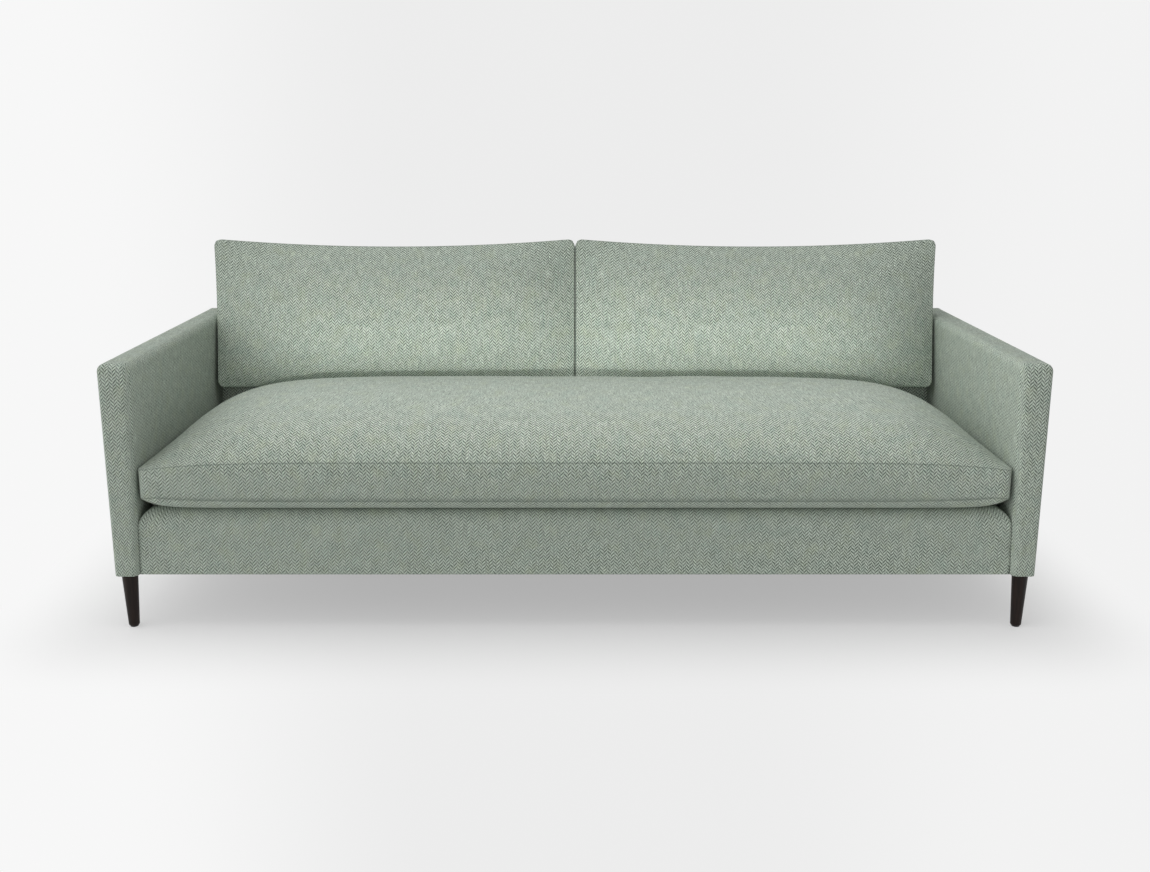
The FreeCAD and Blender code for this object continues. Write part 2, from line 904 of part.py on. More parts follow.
def cushion_pieces(form, half, corner, core):
    """A cushion's cover, filling and foam core, one inside the other."""
    outer = form(0, cover_stations(half, corner, cover_section_count), 0)
    inset = cushion_cloth
    lining = form(inset, cover_stations(half - inset, corner, lining_section_count), lining_chord_count)
    inset += fill_gap
    filling = form(inset, cover_stations(half - inset, corner, lining_section_count), lining_chord_count)
    return hollow(outer, lining), hollow(filling, core), core


def seat_core():
    margin = 2 * seat_roll
    low = seat_bottom + seat_band / 2
    high = seat_bottom + seat_lower_seam + seat_band
    half = seat_half() - margin
    return block(-half, half, margin, seat_rear - margin, low, high)


def back_core():
    """A flat foam slab inside the right back cushion."""
    margin = 2 * back_corner_round
    x0 = back_middle_gap / 2 + margin
    x1 = x0 + back_width() - 2 * margin
    high = back_height - back_dip - margin
    corners = [(margin, -back_band / 4), (high, -back_band / 4),
               (high, -back_band * 3 / 4), (margin, -back_band * 3 / 4)]
    points = [back_place(x0, v, w) for v, w in corners]
    face = Part.Face(Part.makePolygon(points + points[:1]))
    return face.extrude(Vector(x1 - x0, 0, 0))


def seat_cushion_pieces():
    return cushion_pieces(seat_form, seat_half(), seat_corner_round, seat_core())


def back_cushion_pieces():
    return cushion_pieces(back_form, back_width() / 2, back_corner_round, back_core())


def seat_zip():
    """Zip teeth along the seat cushion's rear band, and the slider at its left end."""
    z = seat_bottom + seat_lower_seam + seat_band / 2
    half = seat_half() - zip_end_margin
    back = seat_rear + zip_slider_gap / 2
    teeth = block(-half, half, back, back + zip_thickness, z - zip_width / 2, z + zip_width / 2)
    x = -half + slider_length
    face = back + zip_thickness + zip_slider_gap
    body = block(x - slider_length / 2, x + slider_length / 2, face, face + slider_thickness,
                 z - slider_width / 2, z + slider_width / 2)
    tab = block(x - slider_width / 4, x + slider_width / 4, face + slider_thickness / 3,
                face + slider_thickness * 2 / 3, z - slider_tab, z - slider_width / 4)
    return teeth, body.fuse(tab).removeSplitter()


def box_along_band(x0, x1, v0, v1, w0, w1):
    """A block laid square to a back cushion's bottom band."""
    points = [back_place(x0, v, w) for v, w in ((v0, w0), (v1, w0), (v1, w1), (v0, w1))]
    face = Part.Face(Part.makePolygon(points + points[:1]))
    return face.extrude(Vector(x1 - x0, 0, 0))


def back_zip():
    """Zip teeth along the right back cushion's bottom band, and its slider."""
    start = back_middle_gap / 2 + zip_end_margin / 2
    end = back_middle_gap / 2 + back_width() - zip_end_margin / 2
    w = -back_band * 0.6
    low = -zip_slider_gap / 2
    teeth = box_along_band(start, end, low - zip_thickness, low, w - zip_width / 2, w + zip_width / 2)
    x = start + slider_length
    face = low - zip_thickness - zip_slider_gap
    body = box_along_band(x - slider_length / 2, x + slider_length / 2, face - slider_thickness, face,
                          w - slider_width / 2, w + slider_width / 2)
    tab = box_along_band(x, x + slider_tab, face - slider_thickness * 2 / 3, face - slider_thickness / 3,
                         w - slider_width / 4, w + slider_width / 4)
    return teeth, body.fuse(tab).removeSplitter()


# Legs and fasteners

def leg(centre):
    """A turned, evenly tapered leg with a hole for its hanger bolt."""
    body = Part.makeCone(leg_foot_radius, leg_top_radius, underside_height - glide_height,
                         Vector(centre.x, centre.y, glide_height))
    start = Vector(centre.x, centre.y, underside_height - hanger_in_leg - hole_end_clearance)
    hole = Part.makeCylinder(hanger_radius + thread_clearance, 2 * hanger_in_leg, start)
    return body.cut(hole)


def glide(centre):
    """A nylon glide under a leg, a little narrower at the floor."""
    return Part.makeCone(glide_radius - glide_draft, glide_radius, glide_height, Vector(centre.x, centre.y, 0))


def hanger_bolt(centre):
    start = Vector(centre.x, centre.y, underside_height - hanger_in_leg)
    return Part.makeCylinder(hanger_radius, hanger_in_leg + hanger_in_post, start)


def leg_insert(centre):
    base = Vector(centre.x, centre.y, timber_bottom)
    outer = Part.makeCylinder(insert_radius, insert_length, base)
    return outer.cut(Part.makeCylinder(hanger_radius + thread_clearance, insert_length, base))


def arm_bolt(y):
    """A bolt from inside the base through the end rail into the arm's bottom rail."""
    start = Vector(base_inner_half - arm_bolt_head, y, arm_bolt_height)
    neck = Vector(base_inner_half, y, arm_bolt_height)
    end = Vector(arm_rail_face() + arm_bolt_reach, y, arm_bolt_height)
    return rod(start, neck, arm_bolt_head_radius).fuse(rod(start, end, arm_bolt_radius)).removeSplitter()


def arm_insert(y):
    start = Vector(arm_rail_face(), y, arm_bolt_height)
    end = Vector(arm_rail_face() + arm_bolt_reach / 2, y, arm_bolt_height)
    return rod(start, end, insert_radius).cut(rod(start, end, arm_bolt_radius + thread_clearance))


# Every sub-part, written one file each

def save_pair(name, shape):
    save(name % "right", shape)
    save(name % "left", mirrored(shape))


def both_sides(shapes):
    return shapes + [mirrored(shape) for shape in shapes]


def save_arms():
    for name, shape in make_arm().items():
        save_pair("arm_" + name + "_%s", shape)


def save_base():
    save("front_rail", cross_rail(front_rail_depth, timber_bottom, rail_top))
    save("back_rail", cross_rail(back_rail_depth(), timber_bottom, rail_top))
    save("spring_rail", spring_rail())
    save_pair("base_end_rail_%s", base_end_rail())
    save("centre_stretchers", stretchers())
    save("corner_blocks", corner_blocks())
    save("seat_springs", springs())
    save("spring_clips", clips())
    save("spring_tie_wires", tie_wires())
    save("front_border_cover", border_cover())
    save("front_border_padding", border_foam())
    low = deck_bottom + insulator_thickness
    rear = deck_rear
    save("spring_insulator", deck_layer(deck_bottom, low, border_top_depth, rear))
    save("deck_pad", deck_layer(low, low + deck_pad_thickness, border_top_depth, rear))
    save("deck_cloth", deck_layer(deck_height - cloth, deck_height, border_top_depth, rear))
    save("dust_cover", dust_cloth())


def save_back():
    save("inside_back_cover", inside_back_cloth())
    save("outside_back_cover", outside_back())
    save("inside_back_padding", inside_back_foam())
    save("back_ribs", ribs())
    save("back_top_rail", back_top_rail())
    save("back_webbing", webbing())
    save("rear_board", rear_board())


def save_cushions():
    for name, piece in zip(("cover", "filling", "core"), seat_cushion_pieces()):
        save("seat_cushion_" + name, piece)
    teeth, slider = seat_zip()
    save("seat_zip_teeth", teeth)
    save("seat_zip_slider", slider)
    for name, piece in zip(("cover", "filling", "core"), back_cushion_pieces()):
        save_pair("back_cushion_" + name + "_%s", piece)
    teeth, slider = back_zip()
    save_pair("back_zip_teeth_%s", teeth)
    save_pair("back_zip_slider_%s", slider)


def save_legs():
    names = ("leg_front_%s", "leg_rear_%s")
    for name, centre in zip(names, leg_centres()):
        save_pair(name, leg(centre))
    save("leg_glides", both_sides([glide(centre) for centre in leg_centres()]))
    save("leg_hanger_bolts", both_sides([hanger_bolt(centre) for centre in leg_centres()]))
    save("leg_inserts", both_sides([leg_insert(centre) for centre in leg_centres()]))
    save("arm_bolts", both_sides([arm_bolt(y) for y in arm_bolt_places()]))
    save("arm_bolt_inserts", both_sides([arm_insert(y) for y in arm_bolt_places()]))


save_arms()
save_base()
save_back()
save_cushions()
save_legs()
print("seat crown", round(seat_bottom + seat_lower_seam + seat_band + seat_crown, 1))
print("back cushion foot", [round(value, 1) for value in back_seam_foot()])
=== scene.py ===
import math

import bmesh
import bpy
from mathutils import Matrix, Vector, noise


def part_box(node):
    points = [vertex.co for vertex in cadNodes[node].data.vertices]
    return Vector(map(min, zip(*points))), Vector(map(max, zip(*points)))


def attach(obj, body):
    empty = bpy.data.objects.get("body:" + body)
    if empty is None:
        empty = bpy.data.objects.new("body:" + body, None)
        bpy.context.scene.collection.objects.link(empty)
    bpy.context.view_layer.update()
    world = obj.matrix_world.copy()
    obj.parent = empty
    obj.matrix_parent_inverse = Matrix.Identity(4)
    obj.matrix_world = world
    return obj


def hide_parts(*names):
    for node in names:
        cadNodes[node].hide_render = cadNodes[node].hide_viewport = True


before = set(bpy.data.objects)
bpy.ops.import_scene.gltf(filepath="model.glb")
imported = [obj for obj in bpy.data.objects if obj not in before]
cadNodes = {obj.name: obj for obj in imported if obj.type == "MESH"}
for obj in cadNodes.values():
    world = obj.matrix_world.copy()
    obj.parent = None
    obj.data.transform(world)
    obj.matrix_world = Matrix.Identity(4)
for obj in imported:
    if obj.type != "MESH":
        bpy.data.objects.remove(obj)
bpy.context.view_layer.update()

# Four-seater sofa in sage herringbone cloth. Metres, floor at zero, front towards -Y.


# Small helpers

def colour(code):
    # sRGB hex to the linear values that the shaders take
    levels = [int(code[i:i + 2], 16) / 255 for i in (0, 2, 4)]
    linear = [v / 12.92 if v <= 0.04045 else ((v + 0.055) / 1.055) ** 2.4 for v in levels]
    return linear + [1.0]


def addNode(tree, kind, settings=None, inputs=None):
    # one node with its settings, values and links
    node = tree.nodes.new(kind)
    for key, value in (settings or {}).items():
        setattr(node, key, value)
    for key, value in (inputs or {}).items():
        if isinstance(value, bpy.types.NodeSocket):
            tree.links.new(value, node.inputs[key])
        else:
            node.inputs[key].default_value = value
    return node


def calc(tree, operation, *values):
    # one Math node; values are numbers or sockets
    return addNode(tree, "ShaderNodeMath", {"operation": operation}, dict(enumerate(values))).outputs[0]


def plus(tree, first, second):
    return calc(tree, "ADD", first, second)


def minus(tree, first, second):
    return calc(tree, "SUBTRACT", first, second)


def times(tree, first, second):
    return calc(tree, "MULTIPLY", first, second)


def splitAxes(tree, vector):
    # the three parts of a vector
    return addNode(tree, "ShaderNodeSeparateXYZ", None, {0: vector}).outputs


def joinAxes(tree, *parts):
    return addNode(tree, "ShaderNodeCombineXYZ", None, dict(enumerate(parts))).outputs[0]


def ramp(tree, value, low, high, outLow=0.0, outHigh=1.0):
    # smooth step from low to high
    inputs = {"Value": value, "From Min": low, "From Max": high, "To Min": outLow, "To Max": outHigh}
    return addNode(tree, "ShaderNodeMapRange", {"interpolation_type": "SMOOTHSTEP"}, inputs).outputs[0]


def blend(tree, share, first, second, mode="MIX"):
    node = addNode(tree, "ShaderNodeMix", {"data_type": "RGBA", "blend_type": mode})
    for socket, value in ((node.inputs[0], share), (node.inputs[6], first), (node.inputs[7], second)):
        if isinstance(value, bpy.types.NodeSocket):
            tree.links.new(value, socket)
        else:
            socket.default_value = value
    return node.outputs[2]


def noiseAt(tree, place, scale, detail=2.0, rough=0.5):
    inputs = {"Vector": place, "Scale": scale, "Detail": detail, "Roughness": rough}
    return addNode(tree, "ShaderNodeTexNoise", None, inputs).outputs["Fac"]


def newFinish(name, values):
    # a material, its tree and its Principled shader with some plain values
    material = bpy.data.materials.new(name)
    material.use_nodes = True
    tree = material.node_tree
    shader = tree.nodes["Principled BSDF"]
    for key, value in values.items():
        shader.inputs[key].default_value = value
    return material, tree, shader


def stretched(tree, place, scale, shift=(0.0, 0.0, 0.0)):
    # coordinates stretched where a grain or a thread runs one way
    inputs = {"Vector": place, "Scale": scale, "Location": shift}
    return addNode(tree, "ShaderNodeMapping", None, inputs).outputs[0]


def bump(tree, shader, height, distance, strength):
    inputs = {"Height": height, "Distance": distance, "Strength": strength}
    tree.links.new(addNode(tree, "ShaderNodeBump", None, inputs).outputs[0], shader.inputs["Normal"])


def seenRays(tree):
    # 1 for the rays that show things to the camera, directly, in a mirror or through glass
    path = addNode(tree, "ShaderNodeLightPath").outputs
    seen = calc(tree, "MAXIMUM", path["Is Camera Ray"], path["Is Glossy Ray"])
    return calc(tree, "MAXIMUM", seen, path["Is Transmission Ray"])


# Sage herringbone cloth, all outer upholstery

weave = {
    "column": 0.00872,  # width of one herringbone column, and height of one repeat
    "strokeHalf": 0.20,  # half height of a dark stroke, in columns
    "strokeReach": 0.54,  # half length of a dark stroke across its column
    "looseness": 0.30,  # how far the threads wander, in columns
    "light": "dee7db",
    "middle": "aebbad",
    "dark": "38463b",
    "warm": "abb596",  # tints of the wide patches
    "cool": "8fa69b",
    "seamPaintedShade": "56655a",  # painted shade in the crease beside a seam, and its thread
    "thread": "1d2420",
}


def strokes(tree, u, v, shift):
    # dark slanting strokes of every second column; shift is 0 for one slant and 1 for the other
    across = calc(tree, "WRAP", minus(tree, u, 0.5 + shift), 1.0, -1.0)
    slant = across if shift == 0 else times(tree, across, -1.0)
    level = minus(tree, minus(tree, v, slant), 0.5 * shift)
    away = calc(tree, "ABSOLUTE", calc(tree, "WRAP", level, 0.5, -0.5))
    end = calc(tree, "ABSOLUTE", across)
    reach = weave["strokeReach"]
    taper = ramp(tree, end, reach * 0.85, reach, 1.0, 0.0)
    half = times(tree, taper, weave["strokeHalf"])
    cover = ramp(tree, minus(tree, away, half), -0.12, 0.10, 1.0, 0.0)
    stroke = times(tree, cover, ramp(tree, taper, 0.0, 0.3))
    columnIndex = calc(tree, "FLOOR", times(tree, minus(tree, u, shift), 0.5))
    rowIndex = calc(tree, "FLOOR", plus(tree, level, 0.5))
    cell = joinAxes(tree, columnIndex, rowIndex, float(shift))
    chance = addNode(tree, "ShaderNodeTexWhiteNoise", None, {"Vector": cell}).outputs["Value"]
    return stroke, times(tree, stroke, ramp(tree, chance, -0.4, 1.0, 0.60, 1.0))


def herringboneCloth():
    # woven linen blend, matte with a faint sheen
    material, tree, shader = newFinish("sageHerringboneCloth", {
        "Roughness": 0.92, "Sheen Weight": 0.12, "Sheen Roughness": 0.5, "Specular IOR Level": 0.25})
    uv = addNode(tree, "ShaderNodeUVMap", {"uv_map": "clothMap"}).outputs[0]
    wander = noiseAt(tree, uv, 60.0, 1.0)
    axes = splitAxes(tree, uv)
    slack = times(tree, minus(tree, wander, 0.5), weave["looseness"])
    u = plus(tree, calc(tree, "DIVIDE", axes[0], weave["column"]), slack)
    v = plus(tree, calc(tree, "DIVIDE", axes[1], weave["column"]), slack)
    rising, risingTone = strokes(tree, u, v, 0)
    falling, fallingTone = strokes(tree, u, v, 1)
    tone = calc(tree, "MAXIMUM", risingTone, fallingTone)
    depth = calc(tree, "MAXIMUM", rising, falling)

    # light and dark threads, then wide low patches of tint
    fine = noiseAt(tree, uv, 900.0, 1.0)
    base = blend(tree, ramp(tree, fine, 0.3, 0.75), colour(weave["middle"]), colour(weave["light"]))
    base = blend(tree, tone, base, colour(weave["dark"]))
    patch = noiseAt(tree, uv, 22.0, 3.0)
    warm = blend(tree, ramp(tree, patch, 0.50, 0.72, 0.0, 0.24), base, colour(weave["warm"]))
    cool = blend(tree, ramp(tree, patch, 0.28, 0.48, 0.20, 0.0), warm, colour(weave["cool"]))

    # long slubs along the columns, and shorter flecks
    slub = noiseAt(tree, stretched(tree, uv, (260.0, 22.0, 1.0)), 1.0, 2.0)
    fleck = noiseAt(tree, stretched(tree, uv, (420.0, 55.0, 1.0), (3.1, 7.7, 0.0)), 1.0, 1.0)
    slubShade = ramp(tree, slub, 0.25, 0.75, 0.86, 1.12)
    streak = times(tree, slubShade, ramp(tree, fleck, 0.35, 0.75, 0.93, 1.22))
    grey = addNode(tree, "ShaderNodeCombineColor", None, dict(enumerate([streak] * 3))).outputs[0]
    shade = blend(tree, 1.0, cool, grey, "MULTIPLY")

    # a seam is drawn in by its thread: a pinch in the relief, painted shade in the crease beside it, and
    # the thread's dark line
    seam = addNode(tree, "ShaderNodeAttribute", {"attribute_name": "seam"}).outputs["Fac"]
    pinchAndPaintedShade = ramp(tree, seam, 0.55, 1.0)
    # painted shade: the cloth darkens towards a seam for the shade in its crease
    shade = blend(tree, times(tree, pinchAndPaintedShade, 0.42), shade, colour(weave["seamPaintedShade"]))
    shade = blend(tree, ramp(tree, seam, 0.86, 1.0, 0.0, 0.16), shade, colour(weave["thread"]))
    tree.links.new(shade, shader.inputs["Base Color"])
    height = minus(tree, minus(tree, times(tree, fine, 0.4), depth), times(tree, pinchAndPaintedShade, 1.5))
    bump(tree, shader, height, 0.0006, 0.6)
    return material


# Finishes of the parts inside and under the sofa

def speckled(name, tones, scale, rough, height=0.0003, stretch=(1, 1, 1), values=None):
    # a plain finish with its own grain: two tones and a fine relief
    material, tree, shader = newFinish(name, {"Roughness": rough, **(values or {})})
    place = addNode(tree, "ShaderNodeTexCoord").outputs["Object"]
    grain = noiseAt(tree, stretched(tree, place, stretch), scale, 4.0, 0.6)
    tone = blend(tree, ramp(tree, grain, 0.35, 0.65), colour(tones[0]), colour(tones[1]))
    tree.links.new(tone, shader.inputs["Base Color"])
    bump(tree, shader, grain, height, 0.5)
    return material


def metal(name, tones, rough):
    # plated or oiled steel with a fine grain
    return speckled(name, tones, 240.0, rough, 0.00005, values={"Metallic": 1.0})


def wood(name, tones, rough, grainAxis, shine=0.5):
    # sawn or stained wood, with its grain along one axis
    stretch = [14.0, 14.0, 14.0]
    stretch[grainAxis] = 1.0
    return speckled(name, tones, 9.0, rough, 0.0002, stretch, {"Specular IOR Level": shine})


def makeFinishes():
    pine = ("c79f68", "dcb988")
    return {
        "cloth": herringboneCloth(),
        "foam": speckled("creamFoam", ("e6ddbf", "f0e8cf"), 420.0, 0.95),
        "wadding": speckled("whitePolyesterWadding", ("e9e9e6", "f7f7f5"), 130.0, 1.0, 0.001),
        "hardboard": speckled("brownHardboard", ("6f4f34", "8a6545"), 300.0, 0.7),
        "pineWide": wood("sawnPineAlongWidth", pine, 0.7, 0),
        "pineDeep": wood("sawnPineAlongDepth", pine, 0.7, 1),
        "pineTall": wood("sawnPineUpright", pine, 0.7, 2),
        "plywood": wood("birchPlywood", ("c9a878", "dcc29a"), 0.65, 2),
        "springSteel": metal("oiledSpringSteel", ("4b4d50", "5c5e61"), 0.35),
        "zincSteel": metal("zincPlatedSteel", ("a9abad", "bfc1c3"), 0.3),
        "tieWire": speckled("paperWrappedWire", ("8f7852", "a99067"), 500.0, 0.8),
        "felt": speckled("pressedGreyFelt", ("5c5c5e", "77777a"), 350.0, 1.0),
        "deckCloth": speckled("plainDeckCloth", ("6b766a", "7d897b"), 800.0, 0.95),
        "dustCloth": speckled("blackSpunbondCloth", ("151515", "242424"), 700.0, 0.9),
        "webbing": speckled("wovenElasticWebbing", ("232325", "3a3a3d"), 600.0, 0.85),
        "zipCoil": speckled("nylonZipCoil", ("5f6a5d", "75806f"), 600.0, 0.5),
        "zipMetal": metal("greyLacqueredZinc", ("77797a", "8b8d8e"), 0.4),
        "legWood": wood("darkStainedBeech", ("17100d", "261b16"), 0.42, 2, 0.2),
        "glideNylon": speckled("blackNylon", ("121212", "1c1c1c"), 300.0, 0.45),
    }


finishes = makeFinishes()
print("finishes ready:", len(finishes))


# Soft boxes: a closed grid over the six sides of a box, shaped later

def spread(low, high, step, edgeLow, edgeHigh):
    # grid places between two ends, closer together in the rounded edges
    edgeSteps = 6
    places = [low + edgeLow * i / edgeSteps for i in range(edgeSteps)] if edgeLow else [low]
    start = low + edgeLow
    end = high - edgeHigh
    count = max(1, round((end - start) / step))
    if edgeLow:
        places.append(start)
    places += [start + (end - start) * i / count for i in range(1, count)]
    places.append(end)
    if edgeHigh:
        places += [end + edgeHigh * i / edgeSteps for i in range(1, edgeSteps + 1)]
    return places


def roundEdge(points, a, b, centreA, centreB, signA, signB):
    # bends the square corner outside a centre line into a round one, in the plane of two axes
    for point in points.values():
        da = signA * (point[a] - centreA)
        db = signB * (point[b] - centreB)
        if da > 0 and db > 0:
            scale = max(da, db) / math.hypot(da, db)
            point[a] = centreA + signA * da * scale
            point[b] = centreB + signB * db * scale


def roundRim(points, outline, level, side, radius):
    # rounds the rim of a flat end; outline is (x0, x1, y0, y1) with its corner radii keyed by signs
    x0, x1, y0, y1, corners = outline
    for point in points.values():
        x, y = point[0], point[1]
        signX = 1 if x > (x0 + x1) / 2 else -1
        signY = 1 if y > (y0 + y1) / 2 else -1
        corner = corners[(signX, signY)]
        outX = signX * x - signX * (x1 if signX > 0 else x0) + corner
        outY = signY * y - signY * (y1 if signY > 0 else y0) + corner
        if outX > 0 and outY > 0:
            reach = math.hypot(outX, outY)
            inset = corner - reach
            normal = (signX * outX / reach, signY * outY / reach)
        elif outX > outY:
            inset, normal = corner - outX, (signX, 0)
        else:
            inset, normal = corner - outY, (0, signY)
        across = radius - inset
        up = side * (point[2] - level) + radius
        if across > 0 and up > 0:
            scale = max(across, up) / math.hypot(across, up)
            point[0] += normal[0] * across * (scale - 1)
            point[1] += normal[1] * across * (scale - 1)
            point[2] = level + side * (up * scale - radius)


def roundCorners(points, axes, spans, radii):
    # rounds the four upright edges of a box, seen along its third axis; radii are keyed by signs
    for signs, radius in radii.items():
        centres = [span[sign > 0] - sign * radius for span, sign in zip(spans, signs)]
        roundEdge(points, *axes, *centres, *signs)


def evenly(radius):
    # one radius for all four corners
    return {(signA, signB): radius for signA in (-1, 1) for signB in (-1, 1)}


def boxGrid(xs, ys, zs):
    # points of a box's surface by index, as plain changeable lists
    last = (len(xs) - 1, len(ys) - 1, len(zs) - 1)
    points = {}
    for i, x in enumerate(xs):
        for j, y in enumerate(ys):
            for k, z in enumerate(zs):
                if i in (0, last[0]) or j in (0, last[1]) or k in (0, last[2]):
                    points[(i, j, k)] = [x, y, z]
    return points


def arcTable(points, start, step, count):
    # running length along one line of the grid
    lengths = [0.0]
    for n in range(1, count):
        before = points[tuple(start[m] + step[m] * (n - 1) for m in range(3))]
        now = points[tuple(start[m] + step[m] * n for m in range(3))]
        lengths.append(lengths[-1] + math.dist(before, now))
    return lengths


def seamMarks(points, last, seamRows):
    # 1 where a marked row of the grid turns over an edge of the box, else 0
    marks = []
    for key in points:
        turns = sum(key[axis] in (0, last[axis]) for axis in range(3)) > 1
        marks.append(float(turns and any(key[axis] == row for axis, row in seamRows)))
    return marks


def softBoxMesh(name, xs, ys, zs, points, seamRows=()):
    # the closed mesh; its cloth map is in metres, upright on the sides and front to back on top
    nx, ny, nz = len(xs), len(ys), len(zs)
    order = {key: n for n, key in enumerate(points)}
    faces = []
    maps = []
    frontUp = [arcTable(points, (i, 0, 0), (0, 0, 1), nz) for i in range(nx)]
    rearUp = [arcTable(points, (i, ny - 1, 0), (0, 0, 1), nz) for i in range(nx)]
    topBack = [arcTable(points, (i, 0, nz - 1), (0, 1, 0), ny) for i in range(nx)]
    lowBack = [arcTable(points, (i, 0, 0), (0, 1, 0), ny) for i in range(nx)]
    leftUp = [arcTable(points, (0, j, 0), (0, 0, 1), nz) for j in range(ny)]
    rightUp = [arcTable(points, (nx - 1, j, 0), (0, 0, 1), nz) for j in range(ny)]

    def add(keys, uvs):
        faces.append([order[key] for key in keys])
        maps.append(uvs)

    for i in range(nx - 1):
        for k in range(nz - 1):
            square = ((i, k), (i + 1, k), (i + 1, k + 1), (i, k + 1))
            add([(a, 0, c) for a, c in square], [(xs[a], frontUp[a][c]) for a, c in square])
            turned = square[::-1]
            add([(a, ny - 1, c) for a, c in turned], [(xs[a], rearUp[a][c]) for a, c in turned])
        for j in range(ny - 1):
            square = ((i, j), (i + 1, j), (i + 1, j + 1), (i, j + 1))
            top = [(xs[a], frontUp[a][-1] + topBack[a][b]) for a, b in square]
            add([(a, b, nz - 1) for a, b in square], top)
            turned = square[::-1]
            add([(a, b, 0) for a, b in turned], [(xs[a], -lowBack[a][b]) for a, b in turned])
    for j in range(ny - 1):
        for k in range(nz - 1):
            square = ((j, k), (j, k + 1), (j + 1, k + 1), (j + 1, k))
            add([(0, b, c) for b, c in square], [(ys[b], leftUp[b][c]) for b, c in square])
            turned = square[::-1]
            add([(nx - 1, b, c) for b, c in turned], [(ys[b], rightUp[b][c]) for b, c in turned])

    mesh = bpy.data.meshes.new(name)
    mesh.from_pydata([points[key] for key in points], [], faces)
    layer = mesh.uv_layers.new(name="clothMap")
    layer.data.foreach_set("uv", [value for uvs in maps for pair in uvs for value in pair])
    seam = mesh.attributes.new("seam", "FLOAT", "POINT")
    seam.data.foreach_set("value", seamMarks(points, (nx - 1, ny - 1, nz - 1), seamRows))
    mesh.polygons.foreach_set("use_smooth", [True] * len(faces))
    mesh.update()
    return mesh


def dress(mesh, finish):
    mesh.materials.clear()
    mesh.materials.append(finishes[finish])


def showPiece(name, mesh, finish, body, cadName=None):
    # a finished piece that rides a body, and stands for a CAD node if one is named
    piece = bpy.data.objects.new(name, mesh)
    bpy.context.scene.collection.objects.link(piece)
    dress(mesh, finish)
    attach(piece, body)
    if cadName:
        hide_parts(cadName)
    return piece


def upholster(name, mesh, body, cadName):
    return showPiece(name, mesh, "cloth", body, cadName)


def plainMesh(name, shape):
    # the mesh of a shape that is finished with
    mesh = bpy.data.meshes.new(name)
    shape.to_mesh(mesh)
    shape.free()
    return mesh


def joined(name, meshes):
    # several meshes as one, with their cloth maps
    whole = bmesh.new()
    for mesh in meshes:
        whole.from_mesh(mesh)
    return plainMesh(name, whole)


def mirroredMesh(mesh, name):
    # the same piece on the other side, with its faces still outwards
    other = mesh.copy()
    other.name = name
    for vertex in other.vertices:
        vertex.co.x = -vertex.co.x
    other.flip_normals()
    return other


# Arms: thin upright boxes, thicker at the top, with soft rounded edges

arm = {
    "step": 0.014,
    "frontOuter": 0.012,
    "frontInner": 0.022,
    "rear": 0.018,
    "top": 0.020,
    "bottom": 0.004,
    "footShare": 59 / 78,  # foot thickness over top thickness
    # where the padding fills the cloth near a top corner: sides, reach from the corner and rise
    "pads": [((-1, -1), 0.0105, 0.0028), ((1, 1), 0.008, 0.0022), ((-1, 1), 0.009, 0.0022)],
    "padWidth": 0.012,
}

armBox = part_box("arm_cover_right")


def innerFace(z):
    # half width between the arms at a height
    low, high = armBox
    rise = (z - low[2]) / (high[2] - low[2])
    top = high[0] - low[0]
    return high[0] - top * (arm["footShare"] + (1 - arm["footShare"]) * rise)


def armMesh():
    # the right arm
    low, high = armBox
    inner, outer, front, rear = low[0], high[0], low[1], high[1]
    xs = spread(inner, outer, arm["step"], arm["frontInner"], arm["top"])
    ys = spread(front, rear, arm["step"], arm["frontInner"], arm["top"])
    zs = spread(low[2], high[2], arm["step"], arm["bottom"], arm["top"])
    points = boxGrid(xs, ys, zs)
    corners = evenly(arm["rear"])
    corners[(1, -1)] = arm["frontOuter"]
    corners[(-1, -1)] = arm["frontInner"]
    roundCorners(points, (0, 1), ((inner, outer), (front, rear)), corners)
    outline = (inner, outer, front, rear, corners)
    roundRim(points, outline, high[2], 1, arm["top"])
    roundRim(points, outline, low[2], -1, arm["bottom"])
    pads = []
    for (signX, signY), reach, rise in arm["pads"]:
        corner = Vector((outer if signX > 0 else inner, rear if signY > 0 else front, high[2]))
        outwards = Vector((signX, signY, 1))
        pads.append((corner - outwards * reach, outwards.normalized(), rise))
    for point in points.values():
        here = Vector(point)
        for pad, outwards, rise in pads:
            lift = rise * math.exp(-((here - pad).length / arm["padWidth"]) ** 2)
            for axis in range(3):
                point[axis] += outwards[axis] * lift
        point[0] = outer - (outer - point[0]) * (outer - innerFace(point[2])) / (outer - inner)
    return softBoxMesh("armCover", xs, ys, zs, points)


def makeArms():
    right = armMesh()
    left = mirroredMesh(right, "armCoverLeft")
    upholster("armUpholsteryRight", right, "frame", "arm_cover_right")
    upholster("armUpholsteryLeft", left, "frame", "arm_cover_left")
    print("arms made")


# Front border: upright face with a rolled top edge and rounded upper ends

border = {"step": 0.012, "roll": 0.044, "corner": 0.043, "lowRound": 0.004}


def makeBorder():
    low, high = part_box("front_border_cover")
    half, top, front = high[0], high[2], low[1]
    corner, roll = border["corner"], border["roll"]
    xs = spread(-half, half, border["step"], corner, corner)
    ys = spread(front, high[1], border["step"], roll, 0)
    zs = spread(low[2], top, border["step"], border["lowRound"], roll)
    points = boxGrid(xs, ys, zs)
    roundEdge(points, 1, 2, front + roll, top - roll, -1, 1)
    roundEdge(points, 1, 2, front + border["lowRound"], low[2] + border["lowRound"], -1, -1)
    for point in points.values():
        # the upper ends are round, seen from the front; only the last stretch is drawn in
        over = max(0.0, point[2] - (top - corner))
        drawn = corner - math.sqrt(max(0.0, corner ** 2 - over ** 2)) + half - innerFace(point[2])
        start = half - 3 * corner
        away = abs(point[0]) - start
        if away > 0:
            point[0] -= math.copysign(away / (half - start) * drawn, point[0])
    mesh = softBoxMesh("frontBorder", xs, ys, zs, points)
    upholster("frontBorder", mesh, "frame", "front_border_cover")
    print("front border made")


